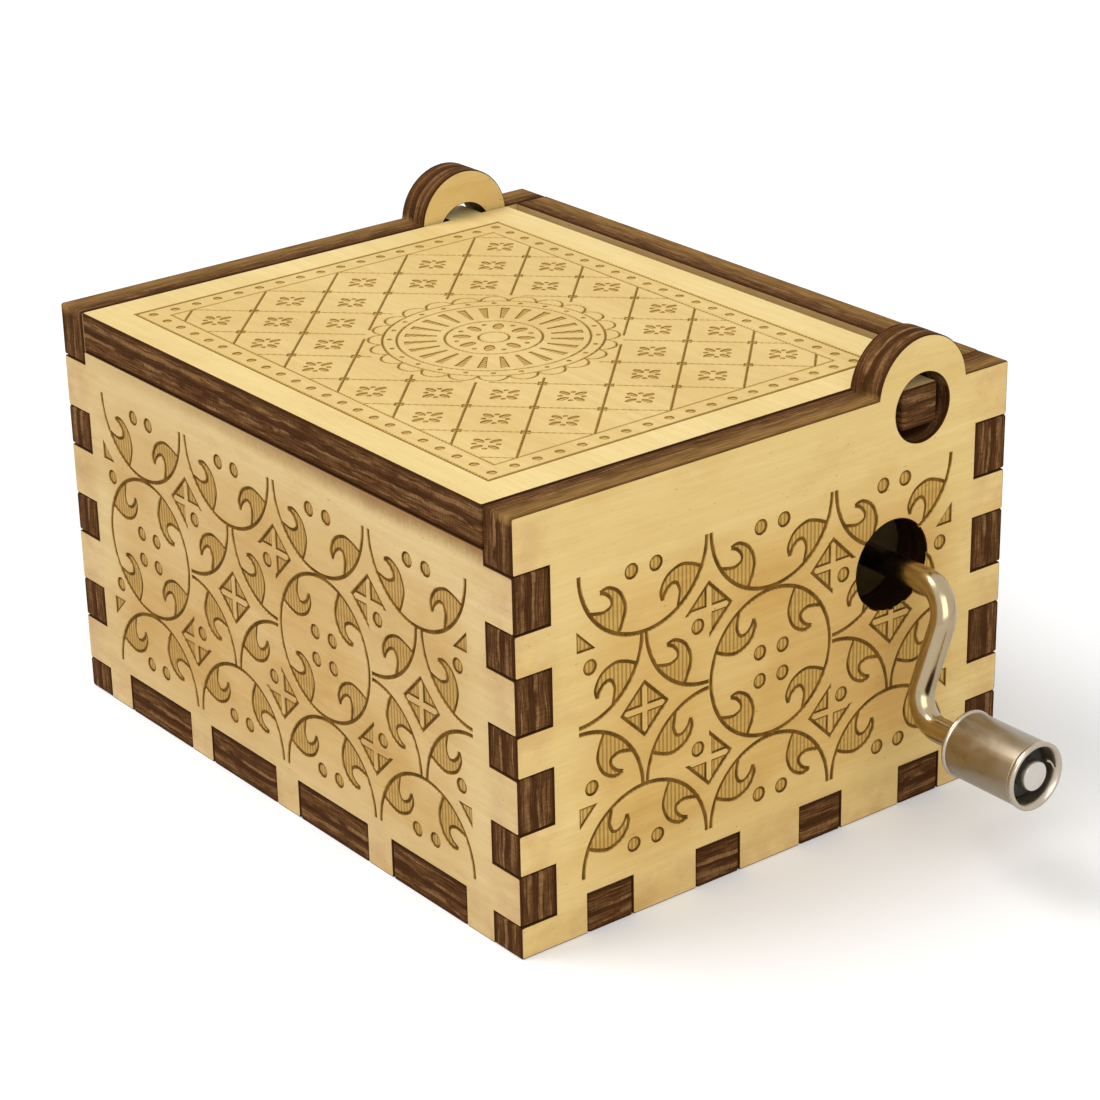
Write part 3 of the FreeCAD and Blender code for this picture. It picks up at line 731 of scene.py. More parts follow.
class Ornament:
    """Collects engraving tools by kind, so that no tool of a kind touches another of its kind."""

    def __init__(self):
        self.kinds = {}

    def put(self, kind, mesh, x=0.0, y=0.0, turn=0.0):
        if kind not in self.kinds:
            self.kinds[kind] = bmesh.new()
        place = Matrix.Translation((x, y, 0)) @ Matrix.Rotation(math.radians(turn), 4, "Z")
        stamp(self.kinds[kind], mesh, place)

    def put_round(self, kind, mesh, x, y, radius, way, turn=0.0):
        """Puts a tool at a distance from a point, in a direction in degrees."""
        way = math.radians(way)
        self.put(kind, mesh, x + radius * math.cos(way), y + radius * math.sin(way), turn)

    def tools(self, place):
        """One closed object for each kind, in a collection, in the case's own frame."""
        holder = bpy.data.collections.new("tools")
        for kind, bm in self.kinds.items():
            for face in bm.faces:
                face.material_index = ENGRAVED
            bmesh.ops.transform(bm, matrix=place, verts=bm.verts)
            holder.objects.link(bpy.data.objects.new(kind, with_slots(meshed(kind, bm))))
        bpy.context.scene.collection.children.link(holder)
        return holder


def with_slots(mesh):
    """A mesh with the empty slots of a panel's three materials."""
    for _ in (FACE, EDGE, ENGRAVED):
        mesh.materials.append(None)
    return mesh


# A leaf curl in the lower left quarter of a circle, from its centre: its back, and its hollow side.
LEAF_BACK = [(-4.25, -1.86), (-3.43, -1.69), (-2.36, -2.33), (-1.82, -3.58), (-2.0, -4.65), (-2.43, -5.62)]
LEAF_HOLLOW = [(-5.28, -3.34), (-4.14, -3.58), (-3.6, -3.51), (-3.14, -3.22), (-3.14, -2.69), (-3.6, -2.15),
               (-4.25, -1.86)]
LOWER_LEFT, UPPER_LEFT, UPPER_RIGHT, LOWER_RIGHT = 0, -90, 180, 90
# The turn of a corner's tool, by the side and the height on which it stands.
CORNER_TURN = {(1, 1): 0, (-1, 1): 90, (-1, -1): 180, (1, -1): 270}


def wall_ornament(columns, pitch, middle, ends):
    """The lattice of circles, leaf curls, dots and crossed squares on a wall.

    columns gives (place, kind) pairs, and ends the first and last place of the drawing.
    """
    sizes = bpy.context.scene.music_box_case
    width, depth, fill = sizes.line_width, sizes.line_depth, sizes.fill_depth
    radius = sizes.circle_radius
    half, rise, dot_off = pitch / 2, 6.4, 1.2
    ornament = Ornament()
    ring = arc_groove(radius, 0, 360, width, depth)
    bowl = arc_groove(radius, 180, 180, width, depth)
    dome = arc_groove(radius, 0, 180, width, depth)
    quarter = arc_groove(radius, 180, 90, width, depth)
    back, hollow = smooth_line(LEAF_BACK), smooth_line(LEAF_HOLLOW)
    border = arc_points(radius, back[-1], hollow[0])
    leaf = {"backs": groove(back, width * 0.9, depth), "hollows": groove(hollow, width * 0.9, depth),
            "leaves": pocket(back[:-1] + border + hollow[1:-1], fill)}
    dot = sunk(spot(0.68), depth, fill, 0.3)
    gap, reach = 0.24, 2.3
    triangle = sunk([(gap, gap), (reach - gap, gap), (gap, reach - gap)], depth, fill, 0.26)
    diamond = arc_groove(reach - 0.06, 0, 360, width * 1.2, depth, 4)
    open_diamond = arc_groove(reach - 0.06, 90, 270, width * 1.2, depth, 3)

    def curls(x, y, *turns):
        for turn in turns:
            for kind, tool in leaf.items():
                ornament.put(kind, tool, x, y, turn)

    def dots(x, *heights):
        for side in (-dot_off, dot_off):
            for y in heights:
                ornament.put("spots", dot, x + side, y)

    def crossed(x, y, missing=None):
        ornament.put("diamonds", diamond if missing is None else open_diamond, x, y, missing or 0)
        for turn in (0, 90, 180, 270):
            if turn == missing:
                ornament.put_round("spots", dot, x, y, 1.6, turn + 45)
            else:
                ornament.put("squares", triangle, x, y, turn)

    high, low = middle + 2 * rise - 0.05, middle - 2 * rise + 0.05
    for x, kind in columns:
        ornament.put("bowls", bowl, x, high)
        ornament.put("domes", dome, x, low)
        curls(x, high, LOWER_LEFT, LOWER_RIGHT)
        curls(x, low, UPPER_LEFT, UPPER_RIGHT)
        dots(x, high - 0.95, low + 1.35)
        if kind == "ring":
            ornament.put("rings", ring, x, middle)
            curls(x, middle, LOWER_LEFT, UPPER_LEFT, UPPER_RIGHT, LOWER_RIGHT)
            dots(x, middle + 1.1, middle - 1.35)
        else:
            crossed(x, middle)
            for (side, up), turn in CORNER_TURN.items():
                centre_x, centre_y = x + side * half, middle + up * (rise + 0.12)
                ornament.put("quarters%d" % up, quarter, centre_x, centre_y, turn)
                curls(centre_x, centre_y, turn)
    for (x, kind), (after, _) in zip(columns, columns[1:]):
        between = (x + after) / 2
        crossed(between, middle + rise, 180 if kind == "star" else 270)
        crossed(between, middle - rise, 90 if kind == "star" else 0)
    for x, side in zip(ends, (1, -1)):
        for up in (1, -1):
            turn = CORNER_TURN[side, up]
            ornament.put("squares", triangle, x - side * 0.4, middle + up * (rise - 0.1), turn)
            ornament.put("spots", dot, x + side * 1.1, middle + up * 5.1)
    return ornament


def lid_ornament(centre, size):
    """A beaded frame round a trellis with small flowers, and a rayed medallion in the middle."""
    sizes = bpy.context.scene.music_box_case
    width, depth, fill = sizes.line_width * 0.6, sizes.line_depth * 0.75, sizes.fill_depth
    ornament = Ornament()
    cx, cy = centre
    half_x, half_y = size[0] / 2, size[1] / 2
    frame_gap, medallion, scallop = 2.2, 9.3, 1.2
    trellis_step, bead_pitch = 3.8, 2.2

    def straight(kind, a, b, line=width):
        a, b = Vector((a[0], a[1], 0)), Vector((b[0], b[1], 0))
        ornament.put(kind, groove([a, b], line, depth), cx, cy)

    for inset, line in ((0.0, width * 1.5), (frame_gap, width)):
        x, y = half_x - inset, half_y - inset
        for side in (-1, 1):
            straight("long_lines", (-x - line / 2, side * y), (x + line / 2, side * y), line)
            straight("short_lines", (side * x, -y), (side * x, y), line)
    bead = sunk(spot(0.42, 12), depth, fill, 0.12)
    x, y = half_x - frame_gap / 2, half_y - frame_gap / 2
    count_x, count_y = round(2 * x / bead_pitch), round(2 * y / bead_pitch)
    for side in (-1, 1):
        for i in range(count_x + 1):
            ornament.put("beads", bead, cx - x + 2 * x * i / count_x, cy + side * y)
        for i in range(1, count_y):
            ornament.put("beads", bead, cx + side * x, cy - y + 2 * y * i / count_y)
    inner_x, inner_y = half_x - frame_gap, half_y - frame_gap
    for way in (1, -1):
        for i in range(-20, 21):
            runs = trellis_runs(i * 2 * trellis_step, way, inner_x, inner_y, medallion + scallop + 0.3)
            for a, b in runs:
                straight("trellis" + str(way), a, b)
    petal = sunk(almond(0.35, 1.15, 0.34), depth, fill, 0.11)
    seed = sunk(spot(0.24, 8), depth, fill, 0.08)
    stud = sunk([(0.55, 0), (0, 0.55), (-0.55, 0), (0, -0.55)], depth, fill, 0.14)
    for i in range(-7, 8):
        for j in range(-7, 8):
            x, y = i * trellis_step, j * trellis_step
            inside = abs(x) < inner_x - 1.5 and abs(y) < inner_y - 1.5
            if not inside or math.hypot(x, y) < medallion + scallop + 1.4:
                continue
            if (i + j) % 2 == 0:
                ornament.put("studs", stud, cx + x, cy + y)
                continue
            for turn in (0, 90, 180, 270):
                ornament.put("petals", petal, cx + x, cy + y, turn)
                ornament.put_round("petals", seed, cx + x, cy + y, 0.95, turn + 45)
    for radius in (medallion, medallion - 1.2, 4.1, 1.3):
        ornament.put("circles", arc_groove(radius, 0, 360, width, depth), cx, cy)
    arch = arc_groove(scallop, 0, 180, width, depth)
    ray = sunk([(4.8, -0.16), (7.5, -0.4), (7.5, 0.4), (4.8, 0.16)], depth, fill, 0.11)
    leaf = sunk(almond(1.9, 1.6, 0.48), depth, fill, 0.12)
    for i in range(24):
        turn = i * 15
        ornament.put("rays", ray, cx, cy, turn)
        ornament.put_round("rays", seed, cx, cy, medallion - 0.6, turn + 7.5)
        ornament.put_round("arches%d" % (i % 2), arch, cx, cy, medallion, turn + 7.5, turn - 82.5)
    for turn in range(0, 360, 45):
        ornament.put("leaves", leaf, cx, cy, turn)
        ornament.put_round("leaves", seed, cx, cy, 3.2, turn + 22.5)
    return ornament


def trellis_runs(offset, way, half_x, half_y, keep_out):
    """The runs of one diagonal inside a rectangle and outside a circle, both about the origin."""
    shortest = 0.5
    crossings = way * (-half_y - offset), way * (half_y - offset)
    low, high = max(-half_x, min(crossings)), min(half_x, max(crossings))
    if high - low < shortest:
        return []
    runs = [(low, high)]
    middle = -way * offset / 2
    square = (keep_out * keep_out - offset * offset / 2) / 2
    if square > 0:
        reach = math.sqrt(square)
        runs = [(low, min(high, middle - reach)), (max(low, middle + reach), high)]
    return [((a, way * a + offset), (b, way * b + offset)) for a, b in runs if b - a > shortest]


# --- Panels --------------------------------------------------------------------------------
def panel_place(node):
    """The matrix from a panel's own axes, in mm, to the case's frame."""
    along, across, out = (Vector(axis) for axis in PANEL_AXES[node])
    low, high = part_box(node)
    face = max(corner.dot(out) for corner in (low, high)) / MM
    return Matrix.Translation(out * face) @ Matrix((along, across, out)).transposed().to_4x4()


def panel(node, body, tint, stain, ornament=None, shade=None, shift=0.0, shaded_holes=()):
    """A plywood panel with edges rounded by wear, its engraving and its own sheet coordinates.

    shift moves the sheet along, so that no two panels share their grain. The last argument gives
    (along, across, reach, strength) of the holes whose inner walls get painted shade, nearly black.
    """
    sizes = bpy.context.scene.music_box_case
    place = panel_place(node)
    out = Vector(PANEL_AXES[node][2])
    bm = merged_copy(node)
    for face in bm.faces:
        face.material_index = FACE if abs(face.normal.dot(out)) > 0.9 else EDGE

    def sharp_between(*slots):
        return [e for e in sharp_edges(bm) if {f.material_index for f in e.link_faces} == set(slots)]

    bevelled(bm, [e for e in sharp_between(EDGE) if e.is_convex], sizes.corner_round)
    for face in bevelled(bm, sharp_between(FACE, EDGE), sizes.edge_round)["faces"]:
        face.material_index = EDGE
    if ornament:
        grid_cut(bm, place)
    mesh = with_slots(meshed(node, bm))
    if ornament:
        mesh = engraved_mesh(mesh, ornament.tools(place))
    mesh.transform(Matrix.Scale(MM, 4))
    name = node.replace("_", " ")
    edge = bpy.data.materials.get("Laser-cut edge") or edge_material("Laser-cut edge")
    materials = [veneer_material("Birch " + name, tint, stain, shade, shift), edge,
                 engraved_material("Engraved " + name, tint)]
    mesh.attributes.new("sheet", "FLOAT_VECTOR", "POINT")
    mesh.attributes.new("hole_shade", "FLOAT", "POINT")
    # Both are fetched once both are there, because a new one makes the earlier handles stale.
    sheet, hole_shade = mesh.attributes["sheet"], mesh.attributes["hole_shade"]
    back = place.inverted()
    for vert in mesh.vertices:
        at = back @ (vert.co / MM)
        sheet.data[vert.index].vector = at + Vector((shift, 0, 0))
        # Painted shade: points under the outer face near a listed hole take that hole's strength.
        hole_shading = [strength for x, y, reach, strength in shaded_holes
                   if at.z < -0.05 and math.hypot(at.x - x, at.y - y) < reach]
        hole_shade.data[vert.index].value = max(hole_shading, default=0.0)
    finished_mesh(node + "_ply", mesh, body, materials, [node])
    smooth_curved_faces(mesh)


def grid_cut(bm, place, step=3.0):
    """Divides a panel into small squares, so that each face stays simple when it is engraved."""
    off_grid = 0.013
    turn = place.to_3x3()
    for axis in (turn.col[0], turn.col[1]):
        reach = [v.co.dot(axis) for v in bm.verts]
        count = int((max(reach) - min(reach)) / step)
        for i in range(1, count + 1):
            at = min(reach) + i * step + off_grid
            bmesh.ops.bisect_plane(bm, geom=bm.verts[:] + bm.edges[:] + bm.faces[:], dist=0.0001,
                                   plane_co=axis * at, plane_no=axis)


def engraved_mesh(mesh, tools):
    """The mesh with every tool of a collection cut out of it. The tools go."""
    blank = linked("blank", mesh)
    cut = blank.modifiers.new("Engraving", "BOOLEAN")
    cut.operation = "DIFFERENCE"
    cut.solver = "MANIFOLD"
    cut.operand_type = "COLLECTION"
    cut.collection = tools
    graph = bpy.context.evaluated_depsgraph_get()
    result = bpy.data.meshes.new_from_object(blank.evaluated_get(graph))
    if len(result.vertices) == len(mesh.vertices):
        raise RuntimeError("The engraving cut nothing on " + mesh.name)
    for tool in list(tools.objects):
        bpy.data.objects.remove(tool)
    bpy.data.collections.remove(tools)
    bpy.data.objects.remove(blank)
    return result


def smooth_curved_faces(mesh):
    """Smooth shading on the walls of round holes only, so that flat faces stay flat."""
    flat, round_step, crease = (math.radians(angle) for angle in (1, 18, 20))
    bm = bmesh.new()
    bm.from_mesh(mesh)
    for face in bm.faces:
        face.smooth = any(len(e.link_faces) == 2 and flat < e.calc_face_angle(0) < round_step
                          for e in face.edges)
    for edge in bm.edges:
        edge.smooth = len(edge.link_faces) == 2 and edge.calc_face_angle(0) < crease
    bm.to_mesh(mesh)
    bm.free()


# --- Operators ------------------------------------------------------------------------------
class MUSICBOX_OT_long_walls(bpy.types.Operator):
    """Build the engraved front and back walls"""
    bl_idname = "musicbox.long_walls"
    bl_label = "Front and back walls"

    def execute(self, context):
        columns = [(-19.9, "ring"), (-6.6, "star"), (6.65, "ring"), (19.9, "star")]
        for node, slot, shade, shift in (("front_wall", "front_ply", front_shade, 0.0),
                                         ("back_wall", "back_ply", back_shade, 230.0)):
            ornament = wall_ornament(columns, pitch=13.25, middle=17.35, ends=(-26.45, 25.95))
            # Painted shade: the front and back walls' veneer and engraving take a darker, greyer copy of
            # the birch, for how light falls on them.
            panel(node, "case", (0.88, 0.88, 0.975), 0.5, ornament, shade, shift)
        return {"FINISHED"}


class MUSICBOX_OT_side_walls(bpy.types.Operator):
    """Build the engraved side walls with their ears"""
    bl_idname = "musicbox.side_walls"
    bl_label = "Side walls"

    def execute(self, context):
        columns = [(-12.95, "star"), (0.0, "ring"), (12.95, "star")]
        for node, slot, side, shift in (("side_wall_left", "left_ply", -1, 120.0),
                                        ("side_wall_right", "right_ply", 1, 60.0)):
            ornament = wall_ornament(columns, pitch=12.95, middle=17.6, ends=(-19.35, 19.35))
            # Painted shade inside the crank and pivot holes: along, across, reach and strength.
            crank_hole, pivot_hole = (side * 12.9, 22.2, 4.3, 0.95), (side * 15.85, 35.0, 3.3, 0.3)
            # Painted light: the side walls' birch is toned for how light falls on them, lighter than the
            # front and back walls.
            panel(node, "case", (1.0, 1.0, 0.96), 0.5, ornament, side_shade, shift,
                  [crank_hole, pivot_hole])
        return {"FINISHED"}


class MUSICBOX_OT_lid_and_base(bpy.types.Operator):
    """Build the engraved lid and the base plate"""
    bl_idname = "musicbox.lid_and_base"
    bl_label = "Lid and base"

    def execute(self, context):
        ornament = lid_ornament(LID_MIDDLE, LID_DRAWING)
        panel("lid", "lid", (1.0, 1.04, 1.06), 0.25, ornament, lid_shade)
        panel("base_plate", "case", (0.98, 0.97, 0.95), 0.6, shift=310.0)
        return {"FINISHED"}


def bent_rod(route, radius, bend, segments):
    """A round rod along a route of straight runs and tangent bends, in mm."""
    points = [Vector(p) for p in route]
    bm = bmesh.new()
    face, ahead = section_start(bm, points, radius, segments)
    reached = points[0]
    for corner, after in zip(points[1:], points[2:] + [None]):
        stop = corner
        if after:
            way = (after - corner).normalized()
            angle = ahead.angle(way)
            stop = corner - ahead * bend * math.tan(angle / 2)
        face, verts = grown_face(bm, face, reached != points[0])
        bmesh.ops.translate(bm, vec=stop - reached, verts=verts)
        if after:
            axis = ahead.cross(way).normalized()
            centre = stop + axis.cross(ahead) * bend
            geom = [face] + list(face.edges) + list(face.verts)
            spun = bmesh.ops.spin(bm, geom=geom, cent=centre, axis=axis, angle=angle, steps=16,
                                  use_merge=False, use_duplicate=False)
            face = of_kind(spun["geom_last"], BMFace)[0]
            reached = corner + way * bend * math.tan(angle / 2)
            ahead = way
    bmesh.ops.recalc_face_normals(bm, faces=bm.faces)
    return bm


class MUSICBOX_OT_crank(bpy.types.Operator):
    """Build the bent crank rod and its turning knob"""
    bl_idname = "musicbox.crank"
    bl_label = "Crank and knob"

    def execute(self, context):
        metal = context.scene.music_box_metal
        along_x = (1, 0, 0)
        low, high = in_mm(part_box("knob_sleeve"))
        _, y, z = (low + high) / 2
        rod_low, rod_high = in_mm(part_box("crank_rod"))
        shaft_low, shaft_high = in_mm(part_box("worm"))
        _, shaft_y, shaft_z = (shaft_low + shaft_high) / 2
        # Where the arm leaves the shaft, and how far it leans back towards the case.
        arm_x, lean, rod_radius, bend = 38.9, 1.5, 1.05, 2.7
        route = [(rod_low.x, shaft_y, shaft_z), (arm_x, shaft_y, shaft_z), (arm_x - lean, y, z),
                 (rod_high.x - 0.4, y, z)]
        bright = metal_material("Crank nickel", toned(metal.nickel, (1.03, 0.98, 0.86)), (0.14, 0.26), 0.25,
                                bump=0.03)
        rod = bent_rod(route, rod_radius, bend, 48)
        finished("crank_rod_nickel", rod, "crank", [bright], ["crank_rod"], 40)
        head_length, head_radius = 1.2, 1.25
        profile = [(0, 0), (0, 1.1), (0.25, head_radius), (1.05, head_radius), (1.16, 1.18),
                   (head_length, rod_radius), (head_length, 0)]
        head = turned(profile, (rod_high.x - head_length, y, z), along_x, metal.round_steps)
        peened = metal_material("Peened end", toned(metal.nickel, (1.5, 1.7, 2.2)), (0.25, 0.42), 3.0,
                                bump=0.4)
        finished("crank_rod_head", head, "crank", [peened], [])
        # The sleeve from its bore round both rims, with a bead behind each.
        bore, bead, rim = 2.25, 2.78, 2.84
        length = high.x - low.x
        profile = [(0.05, bore), (0, 2.32), (0, 2.68), (0.06, bead), (0.16, rim), (0.28, rim), (0.37, bead),
                   (0.42, 2.7), (0.5, 2.73), (length - 0.6, 2.75), (length - 0.54, 2.69),
                   (length - 0.48, bead), (length - 0.36, rim), (length - 0.14, rim), (length - 0.04, bead),
                   (length, 2.7), (length, 2.58), (length - 0.05, 2.5), (length - 0.4, 2.3),
                   (length - 0.6, bore)]
        sleeve = turned(profile, (low.x, y, z), along_x, metal.round_steps)
        # The end of the wire clip that holds the knob, across the hollow of its end.
        clip = groove(smooth_line([(1.25, 0.95), (1.75, 0.6), (2.18, -0.1)]), 0.2, 0.1)
        upright = Matrix(((0, 0, 1), (1, 0, 0), (0, 1, 0))).to_4x4()
        stamp(sleeve, clip, Matrix.Translation((high.x - 0.3, y, z)) @ upright)
        satin = metal_material("Knob nickel", toned(metal.nickel, (0.84, 0.86, 0.92)), (0.26, 0.46), 0.15,
                               bump=0.1)
        # Painted highlight: both rims of the knob get a lighter, whiter copy of its nickel.
        rim_highlight = metal_material("Rim highlight nickel", toned(metal.nickel, (1.15, 1.2, 1.35)), (0.2, 0.36), 0.15,
                              bump=0.1)
        for face in sleeve.faces:
            along = face.calc_center_median().x
            face.material_index = int(along < low.x + 0.4 or along > high.x - 0.5)
        finished("knob_sleeve_nickel", sleeve, "knob", [satin, rim_highlight], ["knob_sleeve"], 40)
        bush = turned([(0, 1.1), (0, 2.1), (0.15, 2.24), (length - 1.6, 2.24), (length - 1.5, 2.15),
                       (length - 1.5, 1.1)], (low.x, y, z), along_x, metal.round_steps)
        black = cast_material("Bush plastic", (0.02, 0.018, 0.016), 2.0, 0.0, 0.6)
        finished("knob_bush_black", bush, "knob", [black], ["knob_bush"])
        return {"FINISHED"}


class MUSICBOX_OT_cylinder(bpy.types.Operator):
    """Build the pinned cylinder with its wheel, arbor, cap and clip"""
    bl_idname = "musicbox.cylinder"
    bl_label = "Cylinder and wheel"

    def execute(self, context):
        metal = context.scene.music_box_metal
        low, high = in_mm(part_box("cylinder_barrel"))
        cx, cz = (low.x + high.x) / 2, (low.z + high.z) / 2
        radius, length = (high.x - low.x) / 2, high.y - low.y
        inside = radius - 0.5

        def add(node, finish, slot, profile, start, steps, *look):
            """A piece turned about the cylinder's axis. look gives the metal's name, colour and lines."""
            bm = turned(profile, (cx, start, cz), (0, 1, 0), steps)
            material = metal_material(*look, turn=(0, 0, math.radians(90)))
            finished(node + finish, bm, "cylinder", [material], [node])

        plating = toned(metal.brass, (1.0, 1.05, 1.25))
        add("cylinder_barrel", "_plated", "barrel_steel",
            [(0, inside), (0, radius - 0.1), (0.1, radius), (length - 0.1, radius), (length, radius - 0.1),
             (length, inside)],
            low.y, metal.round_steps, "Barrel plating", plating, (0.2, 0.36), 6.0)
        steel = metal_material("Pin steel", (0.55, 0.54, 0.52), (0.25, 0.4), 1.0)
        edge_broken("cylinder_pins", "_steel", "cylinder", steel, 0.05, 35)
        add("cylinder_cap", "_brass", "cap_brass",
            [(0, 1.0), (0, 5.2), (0.25, 5.4), (0.0, 5.6), (0.0, inside - 0.1), (0.1, inside), (1.2, inside),
             (1.2, 1.0)],
            low.y, metal.round_steps, "Cap brass", metal.brass, (0.2, 0.34), 4.0)
        low, high = in_mm(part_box("cylinder_arbor"))
        length = high.y - low.y
        add("cylinder_arbor", "_steel", "arbor_steel",
            [(0, 0), (0, 0.82), (0.18, 1.0), (length - 0.18, 1.0), (length, 0.82), (length, 0)],
            low.y, 48, "Arbor steel", (0.56, 0.56, 0.57), (0.12, 0.28), 5.0)
        low, high = in_mm(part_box("arbor_clip"))
        add("arbor_clip", "_steel", "clip_steel",
            [(0, 1.0), (0, 1.8), (0.08, 1.9), (0.42, 1.9), (0.5, 1.8), (0.5, 1.0)],
            low.y, 64, "Clip steel", (0.2, 0.2, 0.21), (0.25, 0.4), 3.0)
        nylon = cast_material("Wheel nylon", (0.78, 0.76, 0.68), 2.0, 0.0, 0.9, 0.25)
        shader = nylon.node_tree.nodes["Principled BSDF"].inputs
        shader["Subsurface Weight"].default_value = 0.15
        shader["Subsurface Scale"].default_value = 0.001
        edge_broken("worm_wheel", "_nylon", "cylinder", nylon, 0.06)
        return {"FINISHED"}


class MUSICBOX_OT_comb_and_frame(bpy.types.Operator):
    """Build the comb, the bedplate, the worm and its bracket"""
    bl_idname = "musicbox.comb_and_frame"
    bl_label = "Comb, bedplate and worm"

    def execute(self, context):
        metal = context.scene.music_box_metal
        ground = metal_material("Comb steel", (0.5, 0.5, 0.52), (0.2, 0.36), 0.12, bump=0.4)
        edge_broken("comb", "_ground", "case", ground, 0.04)
        zinc = cast_material("Bed zinc", (0.5, 0.5, 0.49), 4.5, 1.0, 0.8, 0.12)
        edge_broken("bedplate", "_cast", "case", zinc, 0.15, segments=2)
        sheet = metal_material("Bracket steel", (0.58, 0.57, 0.55), (0.22, 0.4), 0.2)
        edge_broken("worm_bracket", "_sheet", "case", sheet, 0.12, segments=2)
        brass = metal_material("Worm brass", metal.brass, (0.15, 0.3), 5.0)
        edge_broken("worm", "_brass_turned", "crank", brass, 0)
        return {"FINISHED"}


# The radii of a screw, in mm.
SCREW_HEAD, SCREW_SHANK = 1.9, 1.0


class MUSICBOX_OT_screws(bpy.types.Operator):
    """Build the slotted screws of the comb and the base"""
    bl_idname = "musicbox.screws"
    bl_label = "Screws"

    def execute(self, context):
        steel = metal_material("Screw steel", (0.55, 0.55, 0.56), (0.2, 0.38), 1.0)
        for node in ("comb_screws", "base_screws"):
            low, high = in_mm(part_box(node))
            x, y = (low.x + high.x) / 2, (low.y + high.y) / 2
            if node == "comb_screws":
                places = [(x, low.y + SCREW_HEAD), (x, high.y - SCREW_HEAD)]
                top, flip = high.z, 0
            else:
                places = [(low.x + SCREW_HEAD, y), (high.x - SCREW_HEAD, y)]
                top, flip = low.z, math.pi
            whole = bmesh.new()
            for place, turn in zip(places, (25, 95)):
                matrix = Matrix.Translation((*place, top)) @ Matrix.Rotation(flip, 4, "X")
                stamp(whole, slotted_screw(high.z - low.z, turn), matrix)
            finished(node + "_slotted", whole, "case", [steel], [node])
        return {"FINISHED"}


def slotted_screw(length, turn):
    """A cheese-head screw with its head's top at the origin and its shank downwards."""
    profile = [(0, 0), (0, 1.72), (-0.05, 1.84), (-0.15, SCREW_HEAD), (-1.0, SCREW_HEAD),
               (-1.0, SCREW_SHANK), (-length + 0.2, SCREW_SHANK), (-length, 0.8), (-length, 0)]
    mesh = as_tool(turned(profile, (0, 0, 0), (0, 0, 1), 48))
    tool = bmesh.new()
    bmesh.ops.create_cube(tool, size=1.0)
    bmesh.ops.scale(tool, vec=(4.4, 0.5, 1.0), verts=tool.verts)
    way = Matrix.Rotation(math.radians(turn), 3, "Z")
    bmesh.ops.rotate(tool, cent=(0, 0, 0), matrix=way, verts=tool.verts)
    holder = bpy.data.collections.new("slot")
    holder.objects.link(bpy.data.objects.new("slot", as_tool(tool)))
    bpy.context.scene.collection.children.link(holder)
    return engraved_mesh(mesh, holder)


class MUSICBOX_OT_stage(bpy.types.Operator):
    """Set the floor, the lights and the camera"""
    bl_idname = "musicbox.stage"
    bl_label = "Stage"

    def execute(self, context):
        stage = context.scene.music_box_stage
        camera = linked("Camera", bpy.data.cameras.new("Camera"))
        camera.data.lens = stage.lens
        camera.data.sensor_width = 36
        camera.data.shift_x, camera.data.shift_y = 0.0337, 0.0387
        camera.data.clip_start = 0.01
        camera.location = stage.camera_place
        camera.rotation_euler = stage.camera_turn
        context.scene.camera = camera
        lamp("Key", (-0.2, -0.28, 0.6), 0.35, stage.key_power)
        lamp("Side", (0.5, -0.22, 0.33), 0.5, stage.fill_power)
        white_floor()
        white_sky(stage.sky)
        context.scene.view_settings.view_transform = "Standard"
        return {"FINISHED"}


def lamp(name, place, size, power):
    """A square softbox that faces the case."""
    light = bpy.data.lights.new(name, "AREA")
    light.size = size
    light.energy = power
    lamp_object = linked(name, light)
    lamp_object.location = place
    lamp_object.rotation_euler = (Vector((0, 0, 0.02)) - Vector(place)).to_track_quat("-Z", "Y").to_euler()


def white_floor():
    """A floor that keeps the soft shadow and turns white away from the case."""
    bm = bmesh.new()
    bmesh.ops.create_grid(bm, x_segments=4, y_segments=4, size=3.0)
    mesh = meshed("floor", bm)
    material, tree, shader = new_material("White floor")
    seen = tree.add("ShaderNodeLightPath").outputs["Is Camera Ray"]
    place = tree.add("ShaderNodeTexCoord").outputs["Object"]
    away = tree.add("ShaderNodeVectorMath", {0: place}, operation="LENGTH").outputs["Value"]
    glow = tree.times(seen, tree.ramp(away, 0.1, 0.6, 0.14, 0.9))
    tree.feed(shader, {"Base Color": (0.84, 0.84, 0.84, 1), "Roughness": 0.9,
                       "Emission Color": (1, 1, 1, 1), "Emission Strength": glow})
    mesh.materials.append(material)
    floor = linked("floor", mesh)


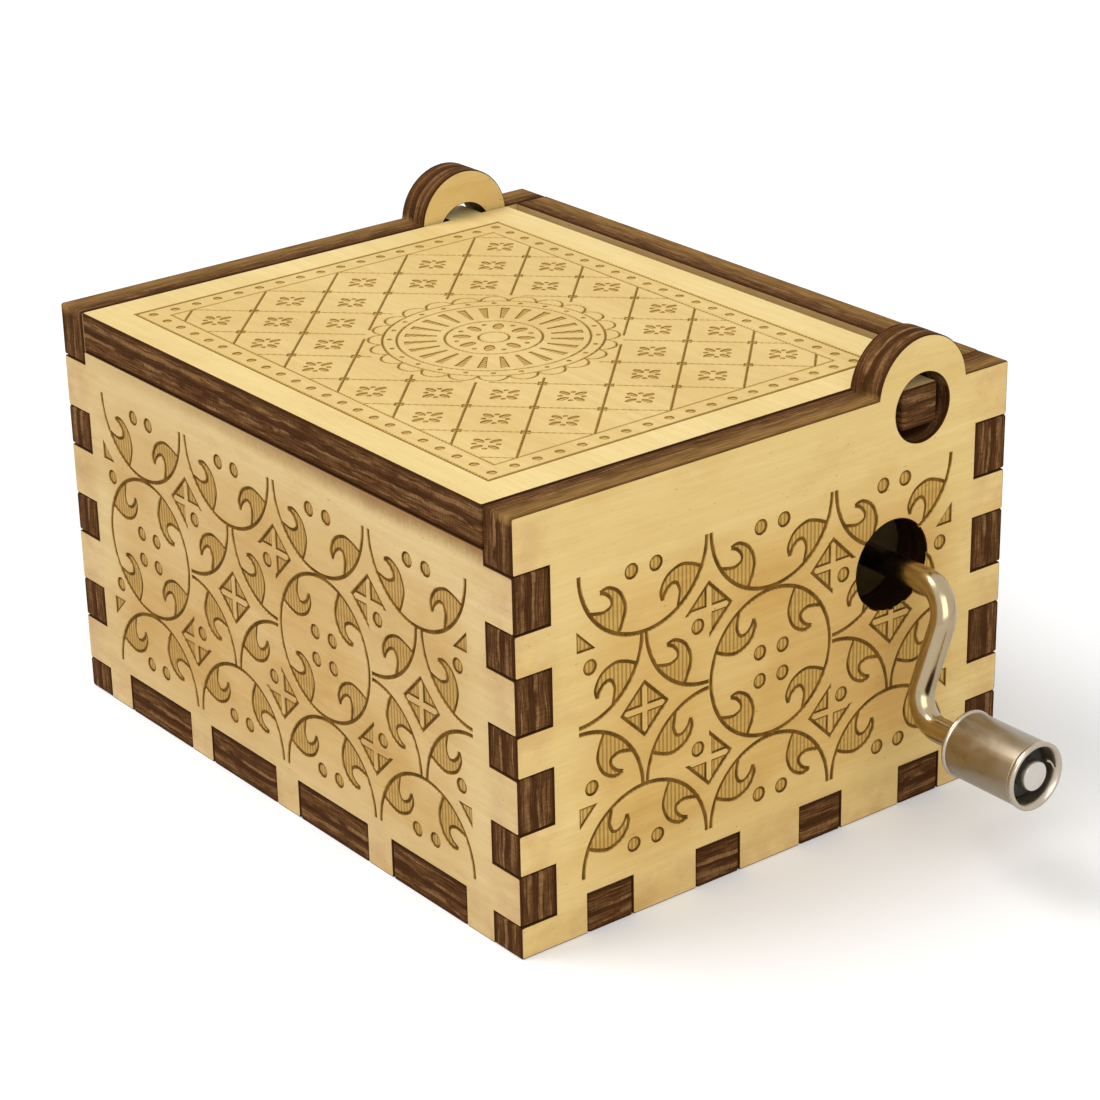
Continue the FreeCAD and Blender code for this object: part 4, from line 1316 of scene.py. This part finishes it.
def white_sky(strength):
    """A soft even light, which the camera and mirrors see as white."""
    world = bpy.data.worlds.new("Studio")
    bpy.context.scene.world = world
    world.use_nodes = True
    tree = Tree(world.node_tree)
    soft = world.node_tree.nodes["Background"]
    tree.feed(soft.inputs, {"Color": (1, 1, 1, 1), "Strength": strength})
    white = tree.add("ShaderNodeBackground", {"Color": (1, 1, 1, 1), "Strength": 1.0})
    path = tree.add("ShaderNodeLightPath").outputs
    mirrored = tree.larger(path["Is Glossy Ray"], path["Is Transmission Ray"])
    seen = tree.larger(path["Is Camera Ray"], mirrored)
    mix = tree.add("ShaderNodeMixShader", {0: seen, 1: soft.outputs[0], 2: white.outputs[0]})
    tree.feed(world.node_tree.nodes["World Output"].inputs, {"Surface": mix.outputs[0]})


class MUSICBOX_PT_panel(bpy.types.Panel):
    """Lists the steps that build the music box"""
    bl_idname = "MUSICBOX_PT_panel"
    bl_label = "Crank music box"
    bl_space_type = "VIEW_3D"
    bl_region_type = "UI"
    bl_category = "Music box"

    def draw(self, context):
        for step in STEPS:
            self.layout.operator(step.bl_idname)
        for name in ("music_box_case", "music_box_metal", "music_box_stage"):
            settings = getattr(context.scene, name)
            box = self.layout.box()
            for prop in settings.bl_rna.properties:
                if prop.identifier not in ("rna_type", "name"):
                    box.prop(settings, prop.identifier)


STEPS = (MUSICBOX_OT_stage, MUSICBOX_OT_long_walls, MUSICBOX_OT_side_walls, MUSICBOX_OT_lid_and_base,
         MUSICBOX_OT_crank, MUSICBOX_OT_cylinder, MUSICBOX_OT_comb_and_frame, MUSICBOX_OT_screws)
CLASSES = (MusicBoxCase, MusicBoxMetal, MusicBoxStage) + STEPS + (MUSICBOX_PT_panel,)


def register():
    for item in CLASSES:
        bpy.utils.register_class(item)
    bpy.types.Scene.music_box_case = PointerProperty(type=MusicBoxCase)
    bpy.types.Scene.music_box_metal = PointerProperty(type=MusicBoxMetal)
    bpy.types.Scene.music_box_stage = PointerProperty(type=MusicBoxStage)


def unregister():
    del bpy.types.Scene.music_box_case
    del bpy.types.Scene.music_box_metal
    del bpy.types.Scene.music_box_stage
    for item in reversed(CLASSES):
        bpy.utils.unregister_class(item)


def main():
    register()
    for step in STEPS:
        group, name = step.bl_idname.split(".")
        getattr(getattr(bpy.ops, group), name)()


if __name__ == "__main__":
    main()
